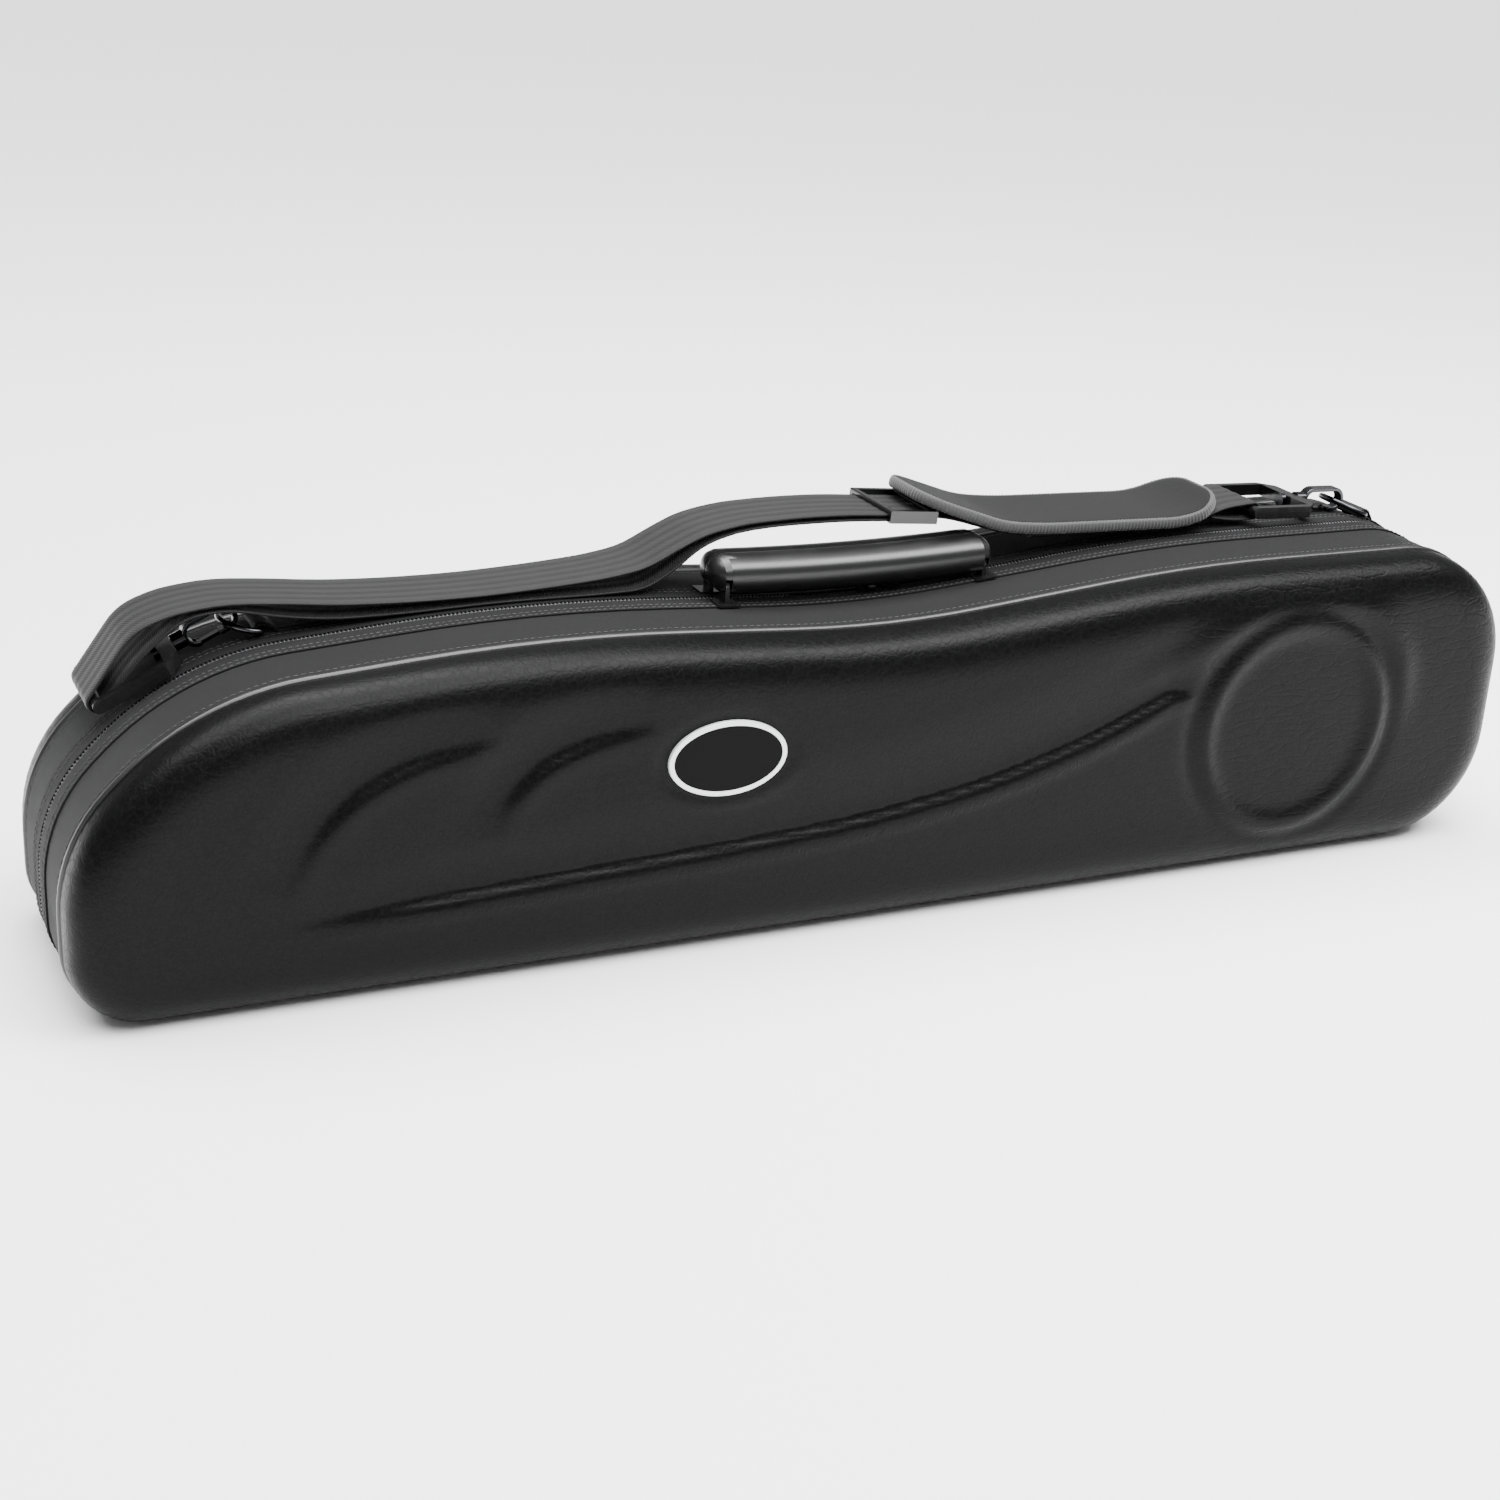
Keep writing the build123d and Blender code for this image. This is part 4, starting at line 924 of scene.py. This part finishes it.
# The cradle of the rear half: a block of soft foam under the same plush, with wells for the
# body, the bell and the mouthpiece. The plush rounds every edge of the wells.
CRADLE_VOXEL = 4.0 * MM
CRADLE_SMOOTH = 8

cradle_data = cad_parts["rear_cradle"].data.copy()
cradle = bpy.data.objects.new("rear_plush_cradle", cradle_data)
bpy.context.scene.collection.objects.link(cradle)
remesh = cradle.modifiers.new("remesh", "REMESH")
remesh.mode, remesh.voxel_size = "VOXEL", CRADLE_VOXEL
soften = cradle.modifiers.new("soften", "SMOOTH")
soften.factor, soften.iterations = 0.5, CRADLE_SMOOTH
shown = cradle.evaluated_get(bpy.context.evaluated_depsgraph_get())
soft_data = bpy.data.meshes.new_from_object(shown)
cradle.modifiers.clear()
cradle.data = soft_data
soft_data.polygons.foreach_set("use_smooth", [True] * len(soft_data.polygons))
wear(plush, cradle)
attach(cradle, "rear_half")
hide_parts("rear_cradle")


# The shoulder strap: one length of ribbed polypropylene webbing. It runs from the adjuster
# back to the left loop, round its bar and over itself to the right loop.
STRAP_Y = 23.0
STRAP_WIDTH = 38.0
STRAP_THICKNESS = 1.6
WRAP_RADIUS = 4.0
STRAP_ROUTE = [
    (45.7, 175.84), (10, 178.1), (-24, 178.0), (-45, 176.4), (-62, 171.0), (-76, 159.6), (-90, 151.9),
    (-112, 151.3), (-160, 151.9), (-208, 150.3), (-238, 150.6), (-261, 153.6), (-284, 158.9), (-303, 156.6),
    (-323.66, 139.43), (-339.83, 116.33), (-346.71, 121.15), (-335.13, 137.69),
    (-325, 152.1), (-309, 158.6), (-286, 161.6), (-262, 159.8), (-235, 156.8), (-205, 155.4),
    (-170, 155.2), (-136, 156.8), (-108, 158.9), (-89, 162.2), (-75, 169.4), (-60, 176.3),
    (-40, 180.0), (-14, 181.0), (14, 180.6), (66, 176.4), (92, 168.2), (106, 164.3), (203, 161.35),
    (218, 163.6), (233, 169.2), (255.25, 170.62), (255.25, 162.22), (240, 161.9), (226, 164.4),
]
WRAP_CORNERS = (15, 16, 39, 40)
STRAP_RIBS = 5
RIB_HEIGHT = 0.24
STRAP_STEP = 2.5
WEB_BLACK = (0.0026, 0.0026, 0.0028, 1)
WEB_GREY = (0.0150, 0.0150, 0.0155, 1)
WEB_PICK = 1.3 * MM


def web_section(width, thickness, ribs):
    """Section of ribbed webbing as (across, up) points: two ribbed faces and thick edges."""
    count = max(8, ribs * 8)
    face = []
    for i in range(count + 1):
        across = (i / count - 0.5) * (width - thickness * 0.6)
        wave = math.cos(2 * math.pi * ribs * across / width)
        face.append((across, thickness / 2 - (RIB_HEIGHT * (0.5 - 0.5 * wave) if ribs else 0)))
    edge = (width / 2, 0)
    under = [(across, -up) for across, up in reversed(face)]
    return face + [edge] + under + [(-width / 2, 0)]


def web_band(line, y, section):
    """Corners, faces and cloth coordinates of a band with that section along an (x, z) line."""
    corners, cloth = [], []
    count, travelled = len(section), 0.0
    for k, point in enumerate(line):
        before, after = line[max(k - 1, 0)], line[min(k + 1, len(line) - 1)]
        along = (after - before).normalized()
        travelled += (point - before).length
        up = Vector((-along.y, along.x))
        for across, rise in section:
            at = point + up * rise
            corners.append(Vector((at.x, y + across, at.y)))
            cloth.append((travelled, across, rise))
    return corners, banded(len(line), count) + capped(len(line), count), cloth


def dense(line, step):
    """The same line with no run longer than the step."""
    result = []
    for a, b in zip(line, line[1:]):
        count = max(1, math.ceil((b - a).length / step))
        result += [a.lerp(b, i / count) for i in range(count)]
    return result + [line[-1]]


web_place = new_finish("ribbed_webbing")
laid = web_place.node("ShaderNodeAttribute", {"attribute_name": "cloth"}, out="Vector")
web_s, web_v, web_w = split(laid)
pick_turn = web_s * (2 * math.pi / WEB_PICK) + web_v * (math.pi / WEB_PICK)
pick = pick_turn.sum("SINE", pick_turn) * 0.5 + 0.5
web_top = STRAP_THICKNESS / 2 * MM
high = steps(web_w.sum("ABSOLUTE", web_w), web_top - RIB_HEIGHT * MM, web_top)
web_uneven = speckle(web_place, 9 * MM, 4.0)
webbing = close_finish(
    web_place,
    mixed(high * 0.55 + pick * 0.2 + web_uneven * 0.25, WEB_BLACK, WEB_GREY),
    0.5 + web_uneven * 0.15,
    pick + speckle(web_place, 0.5 * MM) * 0.4,
    0.12 * MM,
    {"Sheen Weight": 0.05, "Specular IOR Level": 0.2},
)

strap_line = rounded(STRAP_ROUTE, soft_radii(STRAP_ROUTE, WRAP_CORNERS, WRAP_RADIUS))[0]
strap_corners, strap_faces, strap_cloth = web_band(
    dense(strap_line, STRAP_STEP), STRAP_Y, web_section(STRAP_WIDTH, STRAP_THICKNESS, STRAP_RIBS)
)
strap = piece("shoulder_strap", strap_corners, strap_faces, webbing, "rear_half", "webbing", strap_cloth)
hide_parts("strap_webbing")


# The ring tabs: plain webbing folded round each ring's bar, with both ends laid on the rear
# gusset and sewn down.
TAB_WIDTH = 25.0
TAB_THICKNESS = 1.1
TAB_LENGTH = 28.0
TAB_WRAP = 2.3
TAB_LAYERS = (0.7, 1.9)
TAB_STEP = 1.5
RING_BARS = {"left": (-268.24, 146.52), "right": (328.62, 157.49)}


def top_run(x0, x1, rise):
    """The gusset's top between two x, lifted by the rise, from left to right."""
    run = [point for point in rim(GUSSET_INSET - rise) if point.y > SPINE_Z and x0 <= point.x <= x1]
    return sorted(run, key=lambda point: point.x)


for name, (bar_x, bar_z) in RING_BARS.items():
    far = bar_x + TAB_LENGTH
    lower, upper = (dense(top_run(bar_x - 12, far + 12, rise), 2) for rise in TAB_LAYERS)
    lower, upper = ([p for p in run if bar_x + 6 < p.x < far] for run in (lower, upper))
    wrap = [(bar_x + 4, bar_z - TAB_WRAP), (bar_x - TAB_WRAP, bar_z - TAB_WRAP)]
    wrap += [(bar_x - TAB_WRAP, bar_z + TAB_WRAP), (bar_x + 3, bar_z + TAB_WRAP)]
    route = [lower[-1], lower[0]] + wrap + [upper[0], upper[-1]]
    bends = soft_radii(route, (3, 4), TAB_WRAP * 0.95)
    bent = [p for p in rounded(route, bends)[0] if p.x < bar_x + 6.5]
    tab_line = lower[::-1] + bent + upper
    tab_section = web_section(TAB_WIDTH, TAB_THICKNESS, 0)
    corners, faces, cloth = web_band(dense(tab_line, TAB_STEP), STRAP_Y, tab_section)
    tab = piece(f"{name}_ring_tab", corners, faces, webbing, "rear_half", "webbing", cloth)
    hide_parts(f"ring_tab_{name}")


# The hooks, gates, pins and rings: black-plated steel, bent and cast, with the bright
# narrow glints of a hard plating.
PLATING_BLACK = (0.030, 0.030, 0.033, 1)
PLATING_LIGHT = (0.075, 0.075, 0.080, 1)

plated_black = new_finish("black_plating")
haze = speckle(plated_black, 4 * MM, 4.0)
plating_tone = mixed(haze, PLATING_BLACK, PLATING_LIGHT)
plating = close_finish(plated_black, plating_tone, 0.14 + haze * 0.12, haze, 0.03 * MM, {"Metallic": 1.0})
for end in ("left", "right"):
    wear(plating, *cad(f"snap_hook_{end}", f"hook_gate_{end}", f"hook_pin_{end}", f"d_ring_{end}"))


# The swivel loops and the adjuster: black nylon mouldings, glossier than the handle.
LOOP_BLACK = (0.0025, 0.0025, 0.0028, 1)
LOOP_GREY = (0.0045, 0.0045, 0.0048, 1)

loop_place = new_finish("glossy_moulded_nylon")
loop_flow = speckle(loop_place, 8 * MM, 3.0)
gloss = close_finish(
    loop_place, mixed(loop_flow, LOOP_BLACK, LOOP_GREY), 0.16 + loop_flow * 0.10, loop_flow, 0.06 * MM,
    {"Specular IOR Level": 0.6},
)
wear(gloss, *cad("swivel_loop_left", "swivel_loop_right", "strap_adjuster"))


# The shoulder pad: a slab of neoprene foam with a smooth knitted face, turned up at its
# ends. An overlocked edge of thick thread binds it all round.
PAD_LINE = [
    (52, 187.0), (64, 182.6), (78, 177.6), (97, 170.8),
    (120, 168.3), (200, 165.87), (214, 168.5), (229, 176.0),
]
PAD_WIDTH = 56.0
PAD_THICKNESS = 6.0
PAD_END_RADIUS = 20.0
PAD_RINGS = 7
PAD_SHOULDER = 9.0
BINDING_PITCH = 2.0
BINDING_RIB = 0.55
KNIT_BLACK = (0.0022, 0.0022, 0.0024, 1)
KNIT_GREY = (0.0080, 0.0080, 0.0084, 1)

knit_place = new_finish("knitted_pad_face")
knit = cells(knit_place, 0.8 * MM)
knit_uneven = speckle(knit_place, 25 * MM, 4.0)
pad_cloth = close_finish(
    knit_place,
    mixed(knit * 0.5 + knit_uneven * 0.5, KNIT_BLACK, KNIT_GREY),
    0.70 + knit_uneven * 0.12,
    knit + knit_uneven * 2.0,
    0.12 * MM,
    {"Sheen Weight": 0.06, "Specular IOR Level": 0.12},
)
binding_place = new_finish("overlock_thread")
strands = speckle(binding_place, 0.6 * MM, 3.0)
binding = close_finish(
    binding_place, mixed(strands, SEWING_BLACK, SEWING_GREY), 0.6 + strands * 0.2, strands, 0.12 * MM,
    {"Sheen Weight": 0.3},
)

pad_middle = dense(rounded(PAD_LINE, soft_radii(PAD_LINE, (), 0))[0], 2.0)
pad_lengths = [0.0]
for a, b in zip(pad_middle, pad_middle[1:]):
    pad_lengths.append(pad_lengths[-1] + (b - a).length)
PAD_TOTAL = pad_lengths[-1]


def on_pad(s, across, rise):
    """A point of the pad: s along its bent middle line, across it, and up from it."""
    s = max(0.0, min(PAD_TOTAL, s))
    k = 0
    while pad_lengths[k + 1] < s:
        k += 1
    share = (s - pad_lengths[k]) / (pad_lengths[k + 1] - pad_lengths[k])
    point = pad_middle[k].lerp(pad_middle[k + 1], share)
    before, after = pad_middle[max(k - 1, 0)], pad_middle[min(k + 2, len(pad_middle) - 1)]
    along = (after - before).normalized()
    at = point + Vector((-along.y, along.x)) * rise
    return Vector((at.x, STRAP_Y + across, at.y))


def pad_plan(inset):
    """The pad's plan, drawn in, as (s, across) points."""
    ends = (inset, PAD_TOTAL - inset)
    half = PAD_WIDTH / 2 - inset
    corners = [(ends[0], -half), (ends[1], -half), (ends[1], half), (ends[0], half)]
    return rounded(corners, [max(PAD_END_RADIUS - inset, 2.0)] * 4, closed=True, counts=(60, 8, 60, 8))[0]


half_thickness = PAD_THICKNESS / 2
flat, triangles = filled(pad_plan(PAD_SHOULDER), pad_plan(PAD_SHOULDER + 1.5), 2.5)
pad_loops = []
for k in range(2 * PAD_RINGS):
    share = 1 - abs(k - PAD_RINGS + 0.5) / (PAD_RINGS - 0.5)
    inset = PAD_SHOULDER + (1.2 - PAD_SHOULDER) * share ** 0.6
    rise = half_thickness * (1 - 0.30 * share ** 3) * (1 if k < PAD_RINGS else -1)
    pad_loops.append([on_pad(p.x, p.y, rise) for p in pad_plan(inset)])
pad_corners, pad_faces = skinned(pad_loops)
for turn in (1, -1):
    first = len(pad_corners)
    pad_corners += [on_pad(p.x, p.y, turn * half_thickness) for p in flat]
    pad_faces += [tuple(first + i for i in triangle) for triangle in triangles]
pad = piece("neoprene_pad", pad_corners, pad_faces, pad_cloth, "pad", "pad")
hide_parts("shoulder_pad")

edge_places = paced([Vector((p.x, p.y)) for p in pad_plan(0.9)], BINDING_PITCH / 6, closed=True)
binding_loops = []
for k, (point, along) in enumerate(edge_places):
    out = Vector((along.y, -along.x))
    swell = BINDING_RIB * (0.5 + 0.5 * math.cos(2 * math.pi * k / 6))
    ring = []
    for i in range(10):
        angle = 2 * math.pi * i / 10
        reach = -0.6 + (1.2 + swell * 0.5) * math.cos(angle)
        rise = (half_thickness - 0.25 + swell * 0.5) * math.sin(angle)
        place = point + out * reach
        ring.append(on_pad(place.x, place.y, rise))
    binding_loops.append(ring)
binding_loops.append(binding_loops[0])
edge = piece("pad_overlocked_edge", *skinned(binding_loops), binding, "pad", "pad")


# The keepers: two sleeves of the same webbing under the pad, which the strap runs through.
KEEPER_PLACES = (124.0, 186.0)
KEEPER_SECTION = [
    (0.45, -7.6), (0.45, 7.6), (0.27, 8.0), (-0.27, 8.0),
    (-0.45, 7.6), (-0.45, -7.6), (-0.27, -8.0), (0.27, -8.0),
]
KEEPER_THICKNESS = 1.0
KEEPER_HALF = 19.4 + KEEPER_THICKNESS / 2
KEEPER_BELOW = 1.2 + KEEPER_THICKNESS / 2
KEEPER_TILT = (161.35 - 164.3) / (203 - 106)

keeper_corners, keeper_faces = [], []
for x in KEEPER_PLACES:
    strap_z = 164.3 + (x - 106) * KEEPER_TILT
    pad_z = 168.3 + (x - 120) * (165.87 - 168.3) / 80
    top = pad_z - PAD_THICKNESS / 2 - 0.3
    low = strap_z - KEEPER_BELOW
    sleeve = [(-KEEPER_HALF, low), (KEEPER_HALF, low), (KEEPER_HALF, top), (-KEEPER_HALF, top)]
    loop = rounded(sleeve, [0.9] * 4, closed=True, counts=(10, 2, 10, 2))[0]
    rings = []
    for offset, reach in KEEPER_SECTION:
        ring = []
        for k, point in enumerate(loop):
            before, after = loop[k - 1], loop[(k + 1) % len(loop)]
            along = (after - before).normalized()
            at = point + Vector((along.y, -along.x)) * offset
            ring.append(Vector((x + reach, STRAP_Y + at.x, at.y + reach * KEEPER_TILT)))
        rings.append(ring)
    rings.append(rings[0])
    corners, faces = skinned(rings)
    first = len(keeper_corners)
    keeper_corners += corners
    keeper_faces += [tuple(first + i for i in face) for face in faces]
keepers = piece("pad_keeper_sleeves", keeper_corners, keeper_faces, webbing, "pad", "webbing")
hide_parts("pad_keepers")


# The floor and the light: a pale seamless floor under a wide soft sky, a strip overhead, a
# softbox high in front that lights the pressed walls, and a pale surround.
FLOOR_HALF = 15.0
FLOOR_PALE = (0.93, 0.93, 0.93, 1)
FLOOR_WARM = (0.94, 0.94, 0.937, 1)
SURROUND = (1.0, 1.0, 1.0, 1)
SURROUND_STRENGTH = 0.45
SKY_STRENGTH = 6.0
SKY_SPREAD = math.radians(55)
SKY_TILT = (math.radians(-8), math.radians(-12), 0)
LIGHTS = [
    ("overhead", (0.3, 0.1, 1.7), (0.1, 0.0, 0.1), (2.4, 0.7), 45.0),
    ("front_high", (0.45, -0.75, 1.6), (0.05, 0.0, 0.1), (2.6, 0.9), 85.0),
]

floor_place = new_finish("pale_floor")
floor_tone = speckle(floor_place, 0.4, 2.0)
pale_tone = mixed(floor_tone, FLOOR_PALE, FLOOR_WARM)
pale = close_finish(floor_place, pale_tone, 0.9, floor_tone, 0.02 * MM, {"Specular IOR Level": 0.1})
floor_data = bpy.data.meshes.new("floor")
floor_corners = [(x * FLOOR_HALF, y * FLOOR_HALF, 0) for x, y in ((-1, -1), (1, -1), (1, 1), (-1, 1))]
floor_data.from_pydata(floor_corners, [], [(0, 1, 2, 3)])
floor = bpy.data.objects.new("floor", floor_data)
bpy.context.scene.collection.objects.link(floor)
wear(pale, floor)

world = bpy.data.worlds.new("surround")
world.use_nodes = True
world.node_tree.nodes["Background"].inputs["Color"].default_value = SURROUND
world.node_tree.nodes["Background"].inputs["Strength"].default_value = SURROUND_STRENGTH
bpy.context.scene.world = world
for name, place, aim, size, power in LIGHTS:
    light_data = bpy.data.lights.new(name, "AREA")
    light_data.shape = "RECTANGLE"
    light_data.size, light_data.size_y = size
    light_data.energy = power
    light = bpy.data.objects.new(name, light_data)
    bpy.context.scene.collection.objects.link(light)
    light.location = place
    light.rotation_euler = (Vector(aim) - Vector(place)).to_track_quat("-Z", "Y").to_euler()
sky_data = bpy.data.lights.new("sky", "SUN")
sky_data.energy, sky_data.angle = SKY_STRENGTH, SKY_SPREAD
sky = bpy.data.objects.new("sky", sky_data)
sky.rotation_euler = SKY_TILT
bpy.context.scene.collection.objects.link(sky)
